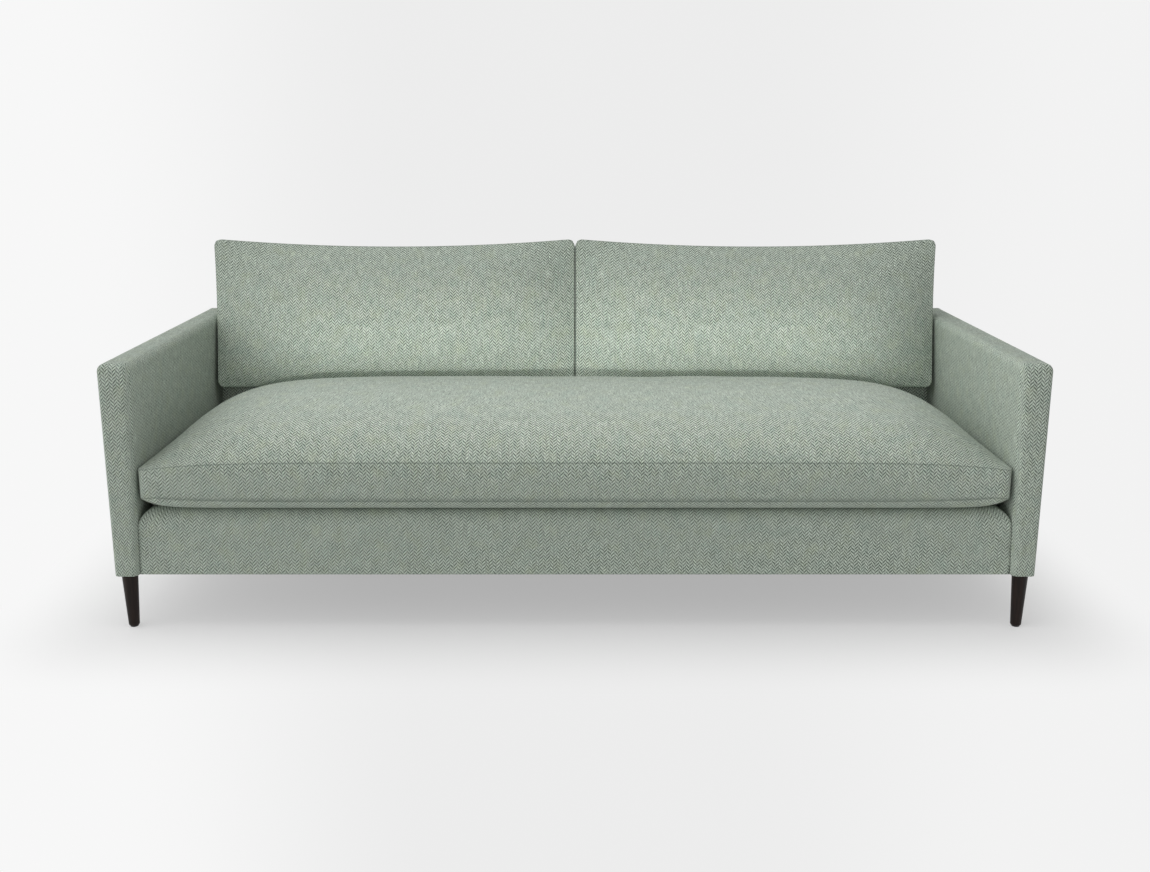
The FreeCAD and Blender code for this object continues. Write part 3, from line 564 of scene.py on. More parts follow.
# Curves of the cushions' sections, in metres

fullness = {"reach": 0.127, "power": 1.13}
folds = {"count": 15.0, "place": 0.075, "width": 0.05, "ease": 0.03}
leastRise = 0.001


def swell(edge):
    # how full a cushion is at a distance from its side, from flat to full
    return 1 - math.exp(-(max(0.0, edge) / fullness["reach"]) ** fullness["power"])


def looseness(x, y, size, height):
    # the soft unevenness of a stuffed cover; never inwards
    return height * (0.5 + 0.5 * noise.noise(Vector((x / size, y / size, 0.37))))


def cornerFolds(dx, dy, height, phase):
    # soft folds that fan out of a sewn corner; never inwards
    reach = math.hypot(dx, dy)
    fan = 0.5 + 0.5 * math.sin(folds["count"] * math.atan2(dy, dx) + phase)
    ring = math.exp(-((reach - folds["place"]) / folds["width"]) ** 2)
    return height * fan * ring * min(1.0, dx / folds["ease"], dy / folds["ease"])


def arch(place, start, peak, rise):
    # height of a round arch that is level at its peak and zero at its start
    run = abs(peak - start)
    radius = (run ** 2 + rise ** 2) / (2 * rise)
    away = min(run, abs(place - peak))
    return rise - radius + math.sqrt(max(0.0, radius ** 2 - away ** 2))


def kneeArch(place, knee, peak, rise):
    # height over the front seam: steep up to a knee, then one arch to the peak
    kneeRise = rise * knee[1]
    run, drop = peak - knee[0], rise - kneeRise
    slope = math.asin(run / ((run ** 2 + drop ** 2) / (2 * drop)))
    if place >= knee[0]:
        return kneeRise + arch(place, knee[0], peak, drop)
    turn = math.atan2(kneeRise, knee[0]) - slope
    radius = math.hypot(knee[0], kneeRise) / (2 * math.sin(turn))
    centreAlong = knee[0] + radius * math.sin(slope)
    centreUp = kneeRise - radius * math.cos(slope)
    return centreUp + math.sqrt(max(0.0, radius ** 2 - (place - centreAlong) ** 2))


# Seat cushion: one crowned bench cushion with a sewn band

seat = {
    "step": 0.010,
    "band": 0.072,
    "lowSeam": 0.048,  # lower seam above the deck, at mid width
    "crown": 0.1225,
    "crownPlace": 0.364,  # behind the front seam
    "knee": (0.117, 0.70),  # behind the front seam, and its share of the crown
    "cornerRound": 0.020,
    "cornerDrop": 0.018,
    "bellyRun": 0.034,
    "bellyEnd": 0.028,
    "bandBulge": 0.0015,
    "slack": 0.004,
    "slackEase": 0.08,  # from a seam to the full slack
}


def seatMesh():
    low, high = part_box("seat_cushion_cover")
    half = high[0]
    front, rear = low[1], high[1]
    bend = seat["cornerRound"]
    xs = spread(-half, half, seat["step"], bend, bend)
    ys = spread(front, rear, seat["step"], bend, bend)
    zs = spread(0.0, seat["band"], seat["band"] / 8, 0, 0)
    points = boxGrid(xs, ys, zs)
    last = len(zs) - 1
    roundCorners(points, (0, 1), ((-half, half), (front, rear)), evenly(bend))
    bottom = low[2]
    depth = rear - front
    for (i, j, k), point in points.items():
        full = swell(half - abs(xs[i]))
        seamZ = bottom + seat["lowSeam"] - seat["cornerDrop"] * (1 - full)
        rise = max(leastRise, seat["crown"] * full)
        along = ys[j] - front
        through = zs[k] / seat["band"]
        point[2] += seamZ
        if k == last:
            ease = full * min(1.0, along / seat["slackEase"], (depth - along) / seat["slackEase"])
            point[2] += looseness(xs[i], ys[j] * 1.4, 0.16, seat["slack"]) * ease
        if k == last and along <= seat["crownPlace"]:
            point[2] += kneeArch(along, seat["knee"], seat["crownPlace"], rise)
        elif k == last:
            point[2] += arch(along, depth, seat["crownPlace"], rise)
        if k == 0:
            reach = min(along, depth - along, seat["bellyRun"])
            fall = arch(reach, 0.0, seat["bellyRun"], seamZ - bottom)
            point[2] -= fall * (1 - math.exp(-(half - abs(xs[i]) + 0.002) / seat["bellyEnd"]))
        bulge = seat["bandBulge"] * 4 * through * (1 - through)
        if j == 0:
            point[1] -= bulge
        if j == len(ys) - 1:
            point[1] += bulge / 4
    return softBoxMesh("seatCushion", xs, ys, zs, points, ((2, 0), (2, last)))


def makeSeat():
    mesh = seatMesh()
    piece = upholster("seatCushion", mesh, "seat_cushion", "seat_cushion_cover")
    print("seat cushion made:", len(mesh.vertices), "points")


# Back cushions: deep pillows that lean on the inside back

back = {
    "step": 0.010,
    "band": 0.072,
    "lean": math.radians(10.4),
    "foot": (0.2252, 0.4646),  # y and z of the lower front seam
    "height": 0.427,
    "dip": 0.022,
    "crown": 0.0985,
    "crownPlace": 0.150,
    "rearCrown": 0.026,
    "ear": 0.005,  # how far the outer top corner stands out, and the outer edge falls in below it
    "waist": 0.0015,
    "footFull": 0.8,  # from a plain arch to a squashed round at the foot
    "cornerRound": 0.021,
    "dome": 0.004,  # how far the bands bulge
    "slack": 0.005,
    "slackEase": 0.06,
    "fold": 0.0035,
    "drawn": 0.0018,  # how far its thread draws a side seam in
    "meet": 0.0009,  # how far the inner side leans to the other cushion
}


def backMesh():
    # built upright as x, thickness and height, then leaned
    low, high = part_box("back_cushion_cover_right")
    half = (high[0] - low[0]) / 2
    middle = (high[0] + low[0]) / 2
    bend = back["cornerRound"]
    band = back["band"]
    xs = spread(-half, half, back["step"], bend, bend)
    ys = spread(0.0, band, band / 8, 0, 0)
    zs = spread(0.0, back["height"], back["step"], bend, bend)
    points = boxGrid(xs, ys, zs)
    last = len(ys) - 1
    roundCorners(points, (0, 2), ((-half, half), (0.0, back["height"])), evenly(bend))
    for (i, j, k), point in points.items():
        full = swell(half - abs(xs[i]))
        dip = back["dip"] * (1 - (xs[i] / half) ** 2)
        top = back["height"] - dip
        place = zs[k] / back["height"]
        up = place * top
        through = ys[j] / band
        point[2] -= dip * place
        side = back["crownPlace"]
        if j == 0:
            rise = max(leastRise, back["crown"] * full)
            if up < side:
                squashed = rise * math.sqrt(1 - (1 - up / side) ** 2)
                plain = arch(up, 0.0, side, rise)
                point[1] -= plain + (max(plain, squashed) - plain) * back["footFull"]
            else:
                point[1] -= arch(up, top, side, rise)
            ease = full * min(1.0, up / back["slackEase"], (top - up) / back["slackEase"])
            point[1] -= looseness(xs[i] + 3.0, zs[k], 0.13, back["slack"]) * ease
            point[1] -= cornerFolds(half - abs(xs[i]), up, back["fold"], math.copysign(1.0, xs[i]))
        if j == last:
            rise = max(leastRise, back["rearCrown"] * full)
            point[1] += arch(up, 0.0 if up < top / 2 else top, top / 2, rise)
        bulge = back["dome"] * 4 * through * (1 - through)
        if xs[i] > 0:
            outline = back["ear"] * place ** 4 - back["waist"] * math.sin(math.pi * place)
            point[0] += outline * (xs[i] / half) ** 6
        if k == len(zs) - 1:
            point[2] += bulge
        # the outer side bulges, and the inner one nearly meets its neighbour behind
        drawn = back["drawn"] if j == 0 else 0.0
        if i == len(xs) - 1:
            point[0] += bulge / 2 - drawn
        elif i == 0:
            point[0] += drawn - back["meet"] * min(1.0, 2 * through)
    foot = back["foot"]
    for point in points.values():
        thick, up = point[1], point[2]
        point[0] += middle
        point[1] = foot[0] + up * math.sin(back["lean"]) + thick * math.cos(back["lean"])
        point[2] = foot[1] + up * math.cos(back["lean"]) - thick * math.sin(back["lean"])
    return softBoxMesh("backCushion", xs, ys, zs, points, ((1, 0), (1, last)))


def makeBackCushions():
    right = backMesh()
    left = mirroredMesh(right, "backCushionLeft")
    for mesh, side in ((right, "right"), (left, "left")):
        name = "backCushion" + side.capitalize()
        piece = upholster(name, mesh, "back_cushion_" + side, "back_cushion_cover_" + side)
    print("back cushions made:", len(right.vertices), "points each")


# Back of the frame: inside back with its top, and the outside back

backFrame = {"step": 0.016, "frontRound": 0.025, "rearRound": 0.018, "panel": 0.003, "return": 0.020}


def fitBetweenArms(points, half):
    # draws the ends in to the arms' leaning inner faces
    for point in points.values():
        point[0] *= innerFace(point[2]) / half


def makeInsideBack():
    low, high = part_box("inside_back_cover")
    half = high[0]
    lean = math.tan(back["lean"])
    rise = high[2] - low[2]
    topFront = low[1] + rise * lean
    frontRound, rearRound = backFrame["frontRound"], backFrame["rearRound"]
    rear = high[1]
    xs = spread(-half, half, backFrame["step"], 0, 0)
    ys = spread(topFront, rear, backFrame["step"], frontRound, rearRound)
    zs = spread(low[2], high[2], backFrame["step"], 0, frontRound)
    points = boxGrid(xs, ys, zs)
    roundEdge(points, 1, 2, topFront + frontRound, high[2] - frontRound, -1, 1)
    roundEdge(points, 1, 2, rear - rearRound, high[2] - rearRound, 1, 1)
    for point in points.values():
        share = (rear - point[1]) / (rear - topFront)
        point[1] -= (high[2] - point[2]) * lean * share
    fitBetweenArms(points, half)
    mesh = softBoxMesh("insideBack", xs, ys, zs, points)
    upholster("insideBack", mesh, "frame", "inside_back_cover")
    print("inside back made")


def makeOutsideBack():
    # a flat panel and its two returns round the ends
    low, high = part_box("outside_back_cover")
    half, rear = high[0], high[1]
    panel = backFrame["panel"]
    face = rear - panel / 2
    turnIn = rear - backFrame["return"]
    zs = spread(low[2], high[2], backFrame["step"], 0, 0)
    meshes = []
    for x0, x1, y0, y1 in (
            (-half, half, face, rear + panel / 2),
            (half - panel, half, turnIn, face),
            (-half, panel - half, turnIn, face)):
        xs = spread(x0, x1, backFrame["step"], 0, 0)
        ys = spread(y0, y1, backFrame["step"], 0, 0)
        points = boxGrid(xs, ys, zs)
        fitBetweenArms(points, half)
        meshes.append(softBoxMesh("outsideBack", xs, ys, zs, points))
    upholster("outsideBack", joined("outsideBack", meshes), "frame", "outside_back_cover")
    print("outside back made")


# Legs: turned and tapered, near black

def ruleTree(name, sizes):
    # a geometry tree with one named input for each size
    tree = bpy.data.node_groups.new(name, "GeometryNodeTree")
    tree.interface.new_socket(name="Geometry", in_out="OUTPUT", socket_type="NodeSocketGeometry")
    for label, value in sizes.items():
        kind = {int: "NodeSocketInt", float: "NodeSocketFloat", tuple: "NodeSocketVector"}[type(value)]
        tree.interface.new_socket(name=label, in_out="INPUT", socket_type=kind).default_value = value
    return tree, tree.nodes.new("NodeGroupInput").outputs


def finishTree(tree, geometry, finish):
    real = addNode(tree, "GeometryNodeRealizeInstances", None, {0: geometry}).outputs[0]
    inputs = {"Geometry": real, "Material": finishes[finish]}
    dressed = addNode(tree, "GeometryNodeSetMaterial", None, inputs).outputs[0]
    addNode(tree, "NodeGroupOutput", None, {0: dressed})


def grow(name, tree, sizes):
    # runs a geometry tree once and keeps its plain mesh
    maker = bpy.data.objects.new(name + "Maker", bpy.data.meshes.new(name + "Seed"))
    bpy.context.scene.collection.objects.link(maker)
    modifier = maker.modifiers.new("rule", "NODES")
    modifier.node_group = tree
    for item in tree.interface.items_tree:
        if item.in_out == "INPUT" and item.name in sizes:
            modifier[item.identifier] = sizes[item.name]
    graph = bpy.context.evaluated_depsgraph_get()
    mesh = bpy.data.meshes.new_from_object(maker.evaluated_get(graph), depsgraph=graph)
    maker.modifiers.remove(modifier)
    bpy.data.objects.remove(maker)
    mesh.name = name
    mesh.polygons.foreach_set("use_smooth", [len(face.vertices) == 4 for face in mesh.polygons])
    return mesh


leg = {"Height": 0.134, "Rings": 60, "Foot radius": 0.013, "Top radius": 0.0195,
       "Flare": 1.0, "Edge": 0.0015, "Place": (0.0, 0.0, 0.0)}
glide = {"Height": 0.003, "Rings": 5, "Foot radius": 0.009, "Top radius": 0.011,
         "Flare": 0.6, "Edge": 0.0008, "Place": (0.0, 0.0, 0.0)}


def turnedTree(name, finish, sizes):
    # a turned post whose radius follows its height, with broken edges
    tree, size = ruleTree(name, sizes)
    height, foot, edge = size["Height"], size["Foot radius"], size["Edge"]
    post = addNode(tree, "GeometryNodeMeshCylinder", {"fill_type": "TRIANGLE_FAN"},
                   {"Vertices": 48, "Side Segments": size["Rings"], "Radius": 1.0, "Depth": height})
    axes = splitAxes(tree, addNode(tree, "GeometryNodeInputPosition").outputs[0])
    up = calc(tree, "MAXIMUM", plus(tree, axes[2], times(tree, height, 0.5)), 0.0)
    share = calc(tree, "POWER", calc(tree, "DIVIDE", up, height), size["Flare"])
    widening = times(tree, minus(tree, size["Top radius"], foot), share)
    end = calc(tree, "MINIMUM", up, minus(tree, height, up))
    near = calc(tree, "MAXIMUM", minus(tree, 1.0, calc(tree, "DIVIDE", end, edge)), 0.0)
    cut = times(tree, calc(tree, "POWER", near, 2.0), edge)
    radius = minus(tree, plus(tree, foot, widening), cut)
    form = joinAxes(tree, times(tree, axes[0], radius), times(tree, axes[1], radius), up)
    place = addNode(tree, "ShaderNodeVectorMath", {"operation": "ADD"}, {0: form, 1: size["Place"]})
    turned = addNode(tree, "GeometryNodeSetPosition", None,
                     {"Geometry": post.outputs["Mesh"], "Position": place.outputs[0]})
    finishTree(tree, turned.outputs[0], finish)
    return tree


def makeLegs():
    turned = turnedTree("turnedLeg", "legWood", leg)
    domed = turnedTree("nailedGlide", "glideNylon", glide)
    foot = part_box("leg_glides")[1][2]
    discs = []
    for place in ("front_left", "front_right", "rear_left", "rear_right"):
        low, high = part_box("leg_" + place)
        x, y = (low[0] + high[0]) / 2, (low[1] + high[1]) / 2
        words = "".join(word.capitalize() for word in place.split("_"))
        tall = {**leg, "Height": high[2] - low[2], "Place": (x, y, low[2])}
        mesh = grow("leg" + words, turned, tall)
        showPiece("leg" + words, mesh, "legWood", "frame", "leg_" + place)
        flat = {**glide, "Height": foot, "Place": (x, y, 0.0)}
        discs.append(grow("glide" + words, domed, flat))
    showPiece("legGlides", joined("legGlides", discs), "glideNylon", "frame", "leg_glides")
    print("legs and glides made")


# Rows of small pins: zip coils, the zip tapes' stitches and the dust cover's staples

def rowTree(name, finish):
    # equal pins along a straight line, each turned the same way
    tree, size = ruleTree(name, {"Count": 10, "Start": (0.0, 0.0, 0.0), "Step": (0.01, 0.0, 0.0),
                                 "Turn": (0.0, 0.0, 0.0), "Pin radius": 0.0006, "Pin length": 0.006})
    inputs = {"Count": size["Count"], "Start Location": size["Start"], "Offset": size["Step"]}
    line = addNode(tree, "GeometryNodeMeshLine", {"mode": "OFFSET"}, inputs).outputs[0]
    inputs = {"Vertices": 8, "Side Segments": 4, "Radius": size["Pin radius"], "Depth": size["Pin length"]}
    pin = addNode(tree, "GeometryNodeMeshCylinder", {"fill_type": "TRIANGLE_FAN"}, inputs).outputs["Mesh"]
    turn = addNode(tree, "FunctionNodeEulerToRotation", None, {0: size["Turn"]}).outputs[0]
    inputs = {"Points": line, "Instance": pin, "Rotation": turn}
    pins = addNode(tree, "GeometryNodeInstanceOnPoints", None, inputs).outputs[0]
    finishTree(tree, pins, finish)
    return tree


zips = {
    "pitch": 0.003,
    "coilRadius": 0.0008,
    "coilLength": 0.006,
    "tapeStart": 0.002,  # from the coil's middle line
    "tapeWidth": 0.006,  # of each of the two tapes
    "tapeThick": 0.0005,
    "tapeSink": 0.0003,
    "stitchPlace": 0.005,
    "stitchPitch": 0.0045,
    "stitchLength": 0.003,
    "stitchRadius": 0.00025,
}


def tapeMesh(start, end, across, outwards):
    # a flat woven tape on one side of the coil
    inner = zips["tapeStart"]
    outer = inner + zips["tapeWidth"]
    tape = bmesh.new()
    corners = []
    for along in (start, end):
        for side, level in ((inner, 0), (outer, 0), (outer, 1), (inner, 1)):
            height = zips["tapeThick"] * level - zips["tapeSink"]
            corners.append(tape.verts.new(along + across * side + outwards * height))
    for face in ((0, 3, 2, 1), (4, 5, 6, 7), (0, 1, 5, 4), (1, 2, 6, 5), (2, 3, 7, 6), (3, 0, 4, 7)):
        tape.faces.new([corners[n] for n in face])
    bmesh.ops.recalc_face_normals(tape, faces=tape.faces)
    return plainMesh("zipTape", tape)


def zipMesh(name, trees, node, lean, outwards):
    # a coil with two tapes, each sewn along its middle
    low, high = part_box(node)
    middle = Vector([(a + b) / 2 for a, b in zip(low, high)])
    across = Vector((0, math.cos(lean), math.sin(lean)))
    length = high[0] - low[0]
    ends = [middle + Vector((sign * length / 2, 0, 0)) for sign in (-1, 1)]
    pitch, stitchPitch = zips["pitch"], zips["stitchPitch"]
    start = ends[0] + Vector((pitch / 2, 0, 0))
    coil = {"Count": int(length / pitch), "Start": tuple(start), "Step": (pitch, 0.0, 0.0),
            "Turn": (lean - math.pi / 2, 0.0, 0.0),
            "Pin radius": zips["coilRadius"], "Pin length": zips["coilLength"]}
    meshes = [grow(name + "Coil", trees[0], coil)]
    face = outwards * (zips["tapeThick"] - zips["tapeSink"])
    for side in (-1, 1):
        meshes.append(tapeMesh(*ends, across * side, outwards))
        sewn = start + across * side * zips["stitchPlace"] + face
        stitches = {"Count": int(length / stitchPitch), "Start": tuple(sewn),
                    "Step": (stitchPitch, 0.0, 0.0), "Turn": (0.0, math.pi / 2, 0.0),
                    "Pin radius": zips["stitchRadius"], "Pin length": zips["stitchLength"]}
        meshes.append(grow(name + "Stitches", trees[1], stitches))
    return joined(name, meshes)


slider = {
    "bodyLength": 0.012,
    "bodyReach": 0.010,  # the most that a body takes of a slider with its pull across
    "narrow": 0.8,  # front end against rear end
    "bodySoft": 0.0006,
    "bridgeWidth": 0.002,
    "bridgeSoft": 0.0004,
    "pullHalf": 0.003,
    "pullLevels": (0.28, 0.46),  # shares of the slider's thickness
    "holePlace": 0.72,
    "holeHalves": (0.0022, 0.0016),
    "turns": 32,
}


def softBlock(shape, centre, axes, sizes, soft):
    # a box with softened edges, narrower towards its first axis
    made = bmesh.ops.create_cube(shape, size=1.0)["verts"]
    for vert in made:
        x, y, z = vert.co
        narrow = slider["narrow"] if x > 0 else 1.0
        vert.co = centre + axes[0] * x * sizes[0] + axes[1] * y * sizes[1] * narrow + axes[2] * z * sizes[2]
    edges = list({edge for vert in made for edge in vert.link_edges})
    bmesh.ops.bevel(shape, geom=edges, offset=soft, segments=3, profile=0.5, affect="EDGES")


def softened(value):
    # a cosine or sine that follows a rounded box
    return math.copysign(abs(value) ** 0.5, value)


def pullPlate(shape, start, hang, sideways, lift, length):
    # a flat pull with round corners and a hole; lift gives the levels of its two faces
    loops = []
    for level in lift:
        outer, inner = [], []
        for n in range(slider["turns"]):
            angle = 2 * math.pi * n / slider["turns"]
            c, s = math.cos(angle), math.sin(angle)
            edge = hang * (length / 2 * (1 + softened(c))) + sideways * (slider["pullHalf"] * softened(s))
            outer.append(shape.verts.new(start + edge + level))
            holeLength, holeWidth = slider["holeHalves"]
            hole = hang * (length * slider["holePlace"] + holeLength * c) + sideways * (holeWidth * s)
            inner.append(shape.verts.new(start + hole + level))
        loops += [outer, inner]
    for first, second in ((0, 1), (2, 3), (0, 2), (1, 3)):
        for n in range(slider["turns"]):
            m = (n + 1) % slider["turns"]
            rim = (loops[first][n], loops[first][m], loops[second][m], loops[second][n])
            shape.faces.new(rim)


def sliderMesh(name, node, along, hang, outwards):
    # a zip slider: a body with softened edges, a bridge and a pull with a hole
    low, high = (Vector(corner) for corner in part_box(node))
    span, middle = high - low, (low + high) / 2
    third = along.cross(outwards)
    thick, reach = abs(span.dot(outwards)), abs(span.dot(hang))
    if abs(hang.dot(along)) > 0.5:
        bodyReach = slider["bodyLength"]
        body = (bodyReach, abs(span.dot(third)) * 0.96, thick * 0.55)
    else:
        bodyReach = min(slider["bodyReach"], reach * 0.45)
        body = (abs(span.dot(along)), bodyReach, thick * 0.55)
    place = middle - hang * (reach - bodyReach) / 2
    shape = bmesh.new()
    axes = (along, third, outwards)
    softBlock(shape, place - outwards * thick * 0.2, axes, body, slider["bodySoft"])
    bridge = (body[0] * 0.5, slider["bridgeWidth"], thick * 0.5)
    softBlock(shape, place + outwards * thick * 0.2, axes, bridge, slider["bridgeSoft"])
    lift = [outwards * thick * level for level in slider["pullLevels"]]
    pullPlate(shape, place, hang, hang.cross(outwards), lift, reach - bodyReach / 2)
    bmesh.ops.recalc_face_normals(shape, faces=shape.faces)
    return plainMesh(name, shape)


def makeZips():
    trees = (rowTree("zipCoil", "zipCoil"), rowTree("tapeStitches", "zipCoil"))
    backwards, downwards, rightwards = Vector((0, 1, 0)), Vector((0, 0, -1)), Vector((1, 0, 0))
    mesh = zipMesh("seatZip", trees, "seat_zip_teeth", math.pi / 2, backwards)
    showPiece("seatZip", mesh, "zipCoil", "seat_cushion", "seat_zip_teeth")
    mesh = sliderMesh("seatZipSlider", "seat_zip_slider", rightwards, downwards, backwards)
    showPiece("seatZipSlider", mesh, "zipMetal", "seat_zip_slider", "seat_zip_slider")
    lean = -back["lean"]
    outwards = Vector((0, math.sin(lean), -math.cos(lean)))
    for side, along in (("left", -rightwards), ("right", rightwards)):
        teeth, tab = "back_zip_teeth_" + side, "back_zip_slider_" + side
        name = "backZip" + side.capitalize()
        showPiece(name, zipMesh(name, trees, teeth, lean, outwards), "zipCoil",
                  "back_cushion_" + side, teeth)
        name = "backZipSlider" + side.capitalize()
        showPiece(name, sliderMesh(name, tab, along, -along, downwards), "zipMetal", tab, tab)
    print("zips made")


staple = {"spacing": 0.055, "edge": 0.014, "radius": 0.0004, "length": 0.010}


def stapleRow(tree, count, start, step, turn):
    sizes = {"Count": count, "Start": start, "Step": step, "Turn": turn,
             "Pin radius": staple["radius"], "Pin length": staple["length"]}
    return grow("stapleRow", tree, sizes)


def makeStaples():
    # staples hold the dust cover all round its edge
    tree = rowTree("dustCoverStaples", "zincSteel")
    low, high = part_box("dust_cover")
    x, y, z = high[0] - staple["edge"], high[1] - staple["edge"], low[2] - staple["radius"] * 0.6
    countX, countY = int(2 * x / staple["spacing"]), int(2 * y / staple["spacing"])
    stepX, stepY = 2 * x / countX, 2 * y / countY
    alongX, alongY = (0.0, math.pi / 2, 0.0), (math.pi / 2, 0.0, 0.0)
    rows = []
    for sign in (-1, 1):
        rows.append(stapleRow(tree, countX + 1, (-x, sign * y, z), (stepX, 0.0, 0.0), alongX))
        start = (sign * x, stepY - y, z)
        rows.append(stapleRow(tree, countY - 1, start, (0.0, stepY, 0.0), alongY))
    showPiece("dustCoverStaples", joined("dustCoverStaples", rows), "zincSteel", "frame")
    print("staples made")


# Hidden parts keep their CAD form and get their own finish

hiddenFinishes = {
    "foam": ["arm_padding_left", "arm_padding_right", "front_border_padding", "inside_back_padding",
             "seat_cushion_core", "back_cushion_core_left", "back_cushion_core_right"],
    "wadding": ["seat_cushion_filling", "back_cushion_filling_left", "back_cushion_filling_right",
                "deck_pad"],
    "hardboard": ["arm_boards_left", "arm_boards_right", "rear_board"],
    "pineWide": ["front_rail", "back_rail", "spring_rail", "back_top_rail", "corner_blocks"],
    "pineDeep": ["arm_top_rail_left", "arm_top_rail_right", "arm_bottom_rail_left", "arm_bottom_rail_right",
                 "base_end_rail_left", "base_end_rail_right", "centre_stretchers"],
    "pineTall": ["arm_posts_left", "arm_posts_right"],
    "plywood": ["back_ribs"],
    "springSteel": ["seat_springs"],
    "zincSteel": ["spring_clips", "leg_hanger_bolts", "leg_inserts", "arm_bolts", "arm_bolt_inserts"],
    "tieWire": ["spring_tie_wires"],
    "felt": ["spring_insulator"],
    "deckCloth": ["deck_cloth"],
    "dustCloth": ["dust_cover"],
    "webbing": ["back_webbing"],
}


def dressHidden():
    for finish, names in hiddenFinishes.items():
        for name in names:
            dress(cadNodes[name].data, finish)
    print("hidden parts dressed")


# Floor, light and camera

studio = {
    "middle": "ececec",
    "left": "f7f7f7",
    "right": "f2f2f2",
    "own": 0.49,  # how much of the floor near the sofa is its own light, for a pale shadow
    "near": (1.09, 0.46),  # half width and half depth of the floor that takes the shadow
    "floorFront": -14.0,
    "floorRear": 3.4,
    "bend": 2.2,
    "wallTop": 9.0,
    "halfWidth": 14.0,
    "bendSteps": 24,
    "fanPoint": -3.4,  # y from which the backdrop's three tones fan out
    "fanNearest": 1.5,
    "fanEdges": (0.12, 0.40),
    "fade": 0.38,  # width over which the shadow's floor goes over into the pale one
}


def studioFinish():
    # seamless paper: near the sofa half lit like paper and half glowing with painted light, so its shadow
    # stays pale; shown pale away from its shadow
    material, tree, shader = newFinish("paleStudioPaper", {"Roughness": 0.9, "Specular IOR Level": 0.1})
    place = addNode(tree, "ShaderNodeTexCoord").outputs["Object"]
    axes = splitAxes(tree, place)
    depth = calc(tree, "MAXIMUM", minus(tree, axes[1], studio["fanPoint"]), studio["fanNearest"])
    fan = calc(tree, "DIVIDE", axes[0], depth)
    near, far = studio["fanEdges"]
    left = ramp(tree, fan, -far, -near, 1.0, 0.0)
    sides = blend(tree, left, colour(studio["middle"]), colour(studio["left"]))
    sides = blend(tree, ramp(tree, fan, near, far), sides, colour(studio["right"]))
    tone = blend(tree, times(tree, noiseAt(tree, place, 0.7), 0.04), sides, colour("ffffff"))
    tree.links.new(tone, shader.inputs["Base Color"])
    glow = addNode(tree, "ShaderNodeEmission", None, {"Color": tone})
    squares = []
    for axis, half in enumerate(studio["near"]):
        outside = minus(tree, calc(tree, "ABSOLUTE", axes[axis]), half)
        squares.append(calc(tree, "POWER", calc(tree, "MAXIMUM", outside, 0.0), 2.0))
    away = calc(tree, "POWER", plus(tree, squares[0], squares[1]), 0.5)
    # painted light: near the sofa the floor half glows to the camera, which keeps the sofa's shadow pale
    share = times(tree, seenRays(tree), ramp(tree, away, 0.0, studio["fade"], studio["own"], 1.0))
    mixed = addNode(tree, "ShaderNodeMixShader", None, {0: share, 1: shader.outputs[0], 2: glow.outputs[0]})
    tree.links.new(mixed.outputs[0], tree.nodes["Material Output"].inputs["Surface"])
    return material


def makeStudio():
    # one pale sheet that bends up behind the sofa
    rear, bend, wide = studio["floorRear"], studio["bend"], studio["halfWidth"]
    rows = [(studio["floorFront"], 0.0), (rear, 0.0)]
    for n in range(1, studio["bendSteps"] + 1):
        angle = math.pi / 2 * n / studio["bendSteps"]
        rows.append((rear + bend * math.sin(angle), bend * (1 - math.cos(angle))))
    rows.append((rear + bend, studio["wallTop"]))
    verts = [(x, y, z) for y, z in rows for x in (-wide, wide)]
    faces = [(2 * n, 2 * n + 1, 2 * n + 3, 2 * n + 2) for n in range(len(rows) - 1)]
    mesh = bpy.data.meshes.new("studioSheet")
    mesh.from_pydata(verts, [], faces)
    mesh.polygons.foreach_set("use_smooth", [True] * len(faces))
    mesh.materials.append(studioFinish())
    sheet = bpy.data.objects.new("studioSheet", mesh)
    bpy.context.scene.collection.objects.link(sheet)


light = {
    "left": 1.2,  # how bright the room is towards the left, the front and all round
    "front": 0.06,
    "round": 0.32,
}

# three softboxes: one over the seat, a weak one low before the rail and one before the backs
softboxes = {
    "overheadSoftbox": {"place": (-0.3, -0.7, 2.8), "aim": (-0.1, -0.1, 0.3), "size": (3.0, 1.0),
                        "spread": 180, "power": 16},
    "lowSoftbox": {"place": (0.0, -1.8, 0.71), "aim": (0.0, 0.3, 0.56), "size": (1.75, 0.06),
                   "spread": 17, "power": 0.66},
    "nearSoftbox": {"place": (0.0, -0.75, 0.71), "aim": (0.0, 0.2, 0.53), "size": (2.0, 0.04),
                    "spread": 40, "power": 0.26},
}


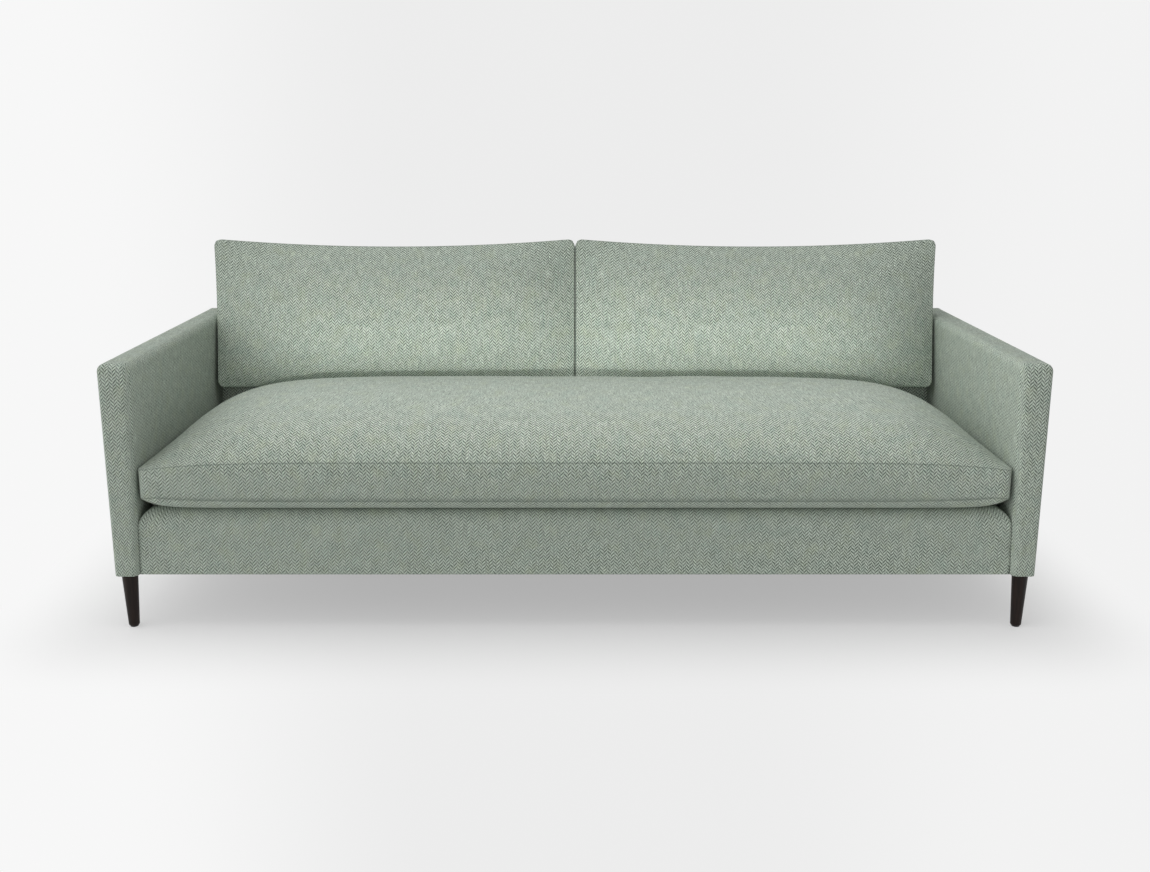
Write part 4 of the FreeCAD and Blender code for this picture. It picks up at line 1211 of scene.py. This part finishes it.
def makeSoftbox(name, box):
    data = bpy.data.lights.new(name, "AREA")
    data.shape = "RECTANGLE"
    data.size, data.size_y = box["size"]
    data.energy = box["power"]
    data.spread = math.radians(box["spread"])
    lamp = bpy.data.objects.new(name, data)
    place = Vector(box["place"])
    lamp.location = place
    lamp.rotation_euler = (Vector(box["aim"]) - place).to_track_quat("-Z", "Y").to_euler()
    lamp.visible_camera = False
    bpy.context.scene.collection.objects.link(lamp)


def makeLight():
    # a soft room, brighter on the left, that shows itself as plain pale paper
    world = bpy.data.worlds.new("softStudio")
    bpy.context.scene.world = world
    world.use_nodes = True
    tree = world.node_tree
    way = addNode(tree, "ShaderNodeTexCoord").outputs["Generated"]
    level = light["round"]
    for axis, share in (((-1, 0, 0), light["left"]), ((0, -1, 0), light["front"])):
        along = addNode(tree, "ShaderNodeVectorMath", {"operation": "DOT_PRODUCT"}, {0: way, 1: axis})
        towards = calc(tree, "MAXIMUM", along.outputs["Value"], 0.0)
        level = plus(tree, times(tree, towards, share), level)
    background = tree.nodes["Background"]
    background.inputs["Color"].default_value = colour("ffffff")
    tree.links.new(level, background.inputs["Strength"])
    pale = addNode(tree, "ShaderNodeBackground", None, {"Color": colour(studio["right"]), "Strength": 1.0})
    mixed = addNode(tree, "ShaderNodeMixShader", None,
                    {0: seenRays(tree), 1: background.outputs[0], 2: pale.outputs[0]})
    tree.links.new(mixed.outputs[0], tree.nodes["World Output"].inputs["Surface"])
    for name, box in softboxes.items():
        makeSoftbox(name, box)


camera = {
    "lens": 39.22,
    "place": (0.0, -3.3436, 1.2072),
    "tilt": math.radians(76.02),
}


def makeCamera():
    data = bpy.data.cameras.new("photoCamera")
    data.lens = camera["lens"]
    data.sensor_width = 36.0
    data.clip_end = 60.0
    view = bpy.data.objects.new("photoCamera", data)
    view.location = camera["place"]
    view.rotation_euler = (camera["tilt"], 0.0, 0.0)
    bpy.context.scene.collection.objects.link(view)
    bpy.context.scene.camera = view


makeArms()
makeBorder()
makeSeat()
makeBackCushions()
makeInsideBack()
makeOutsideBack()
makeLegs()
makeZips()
makeStaples()
dressHidden()
makeStudio()
makeLight()
makeCamera()
bpy.context.scene.view_settings.view_transform = "Standard"
print("studio ready")
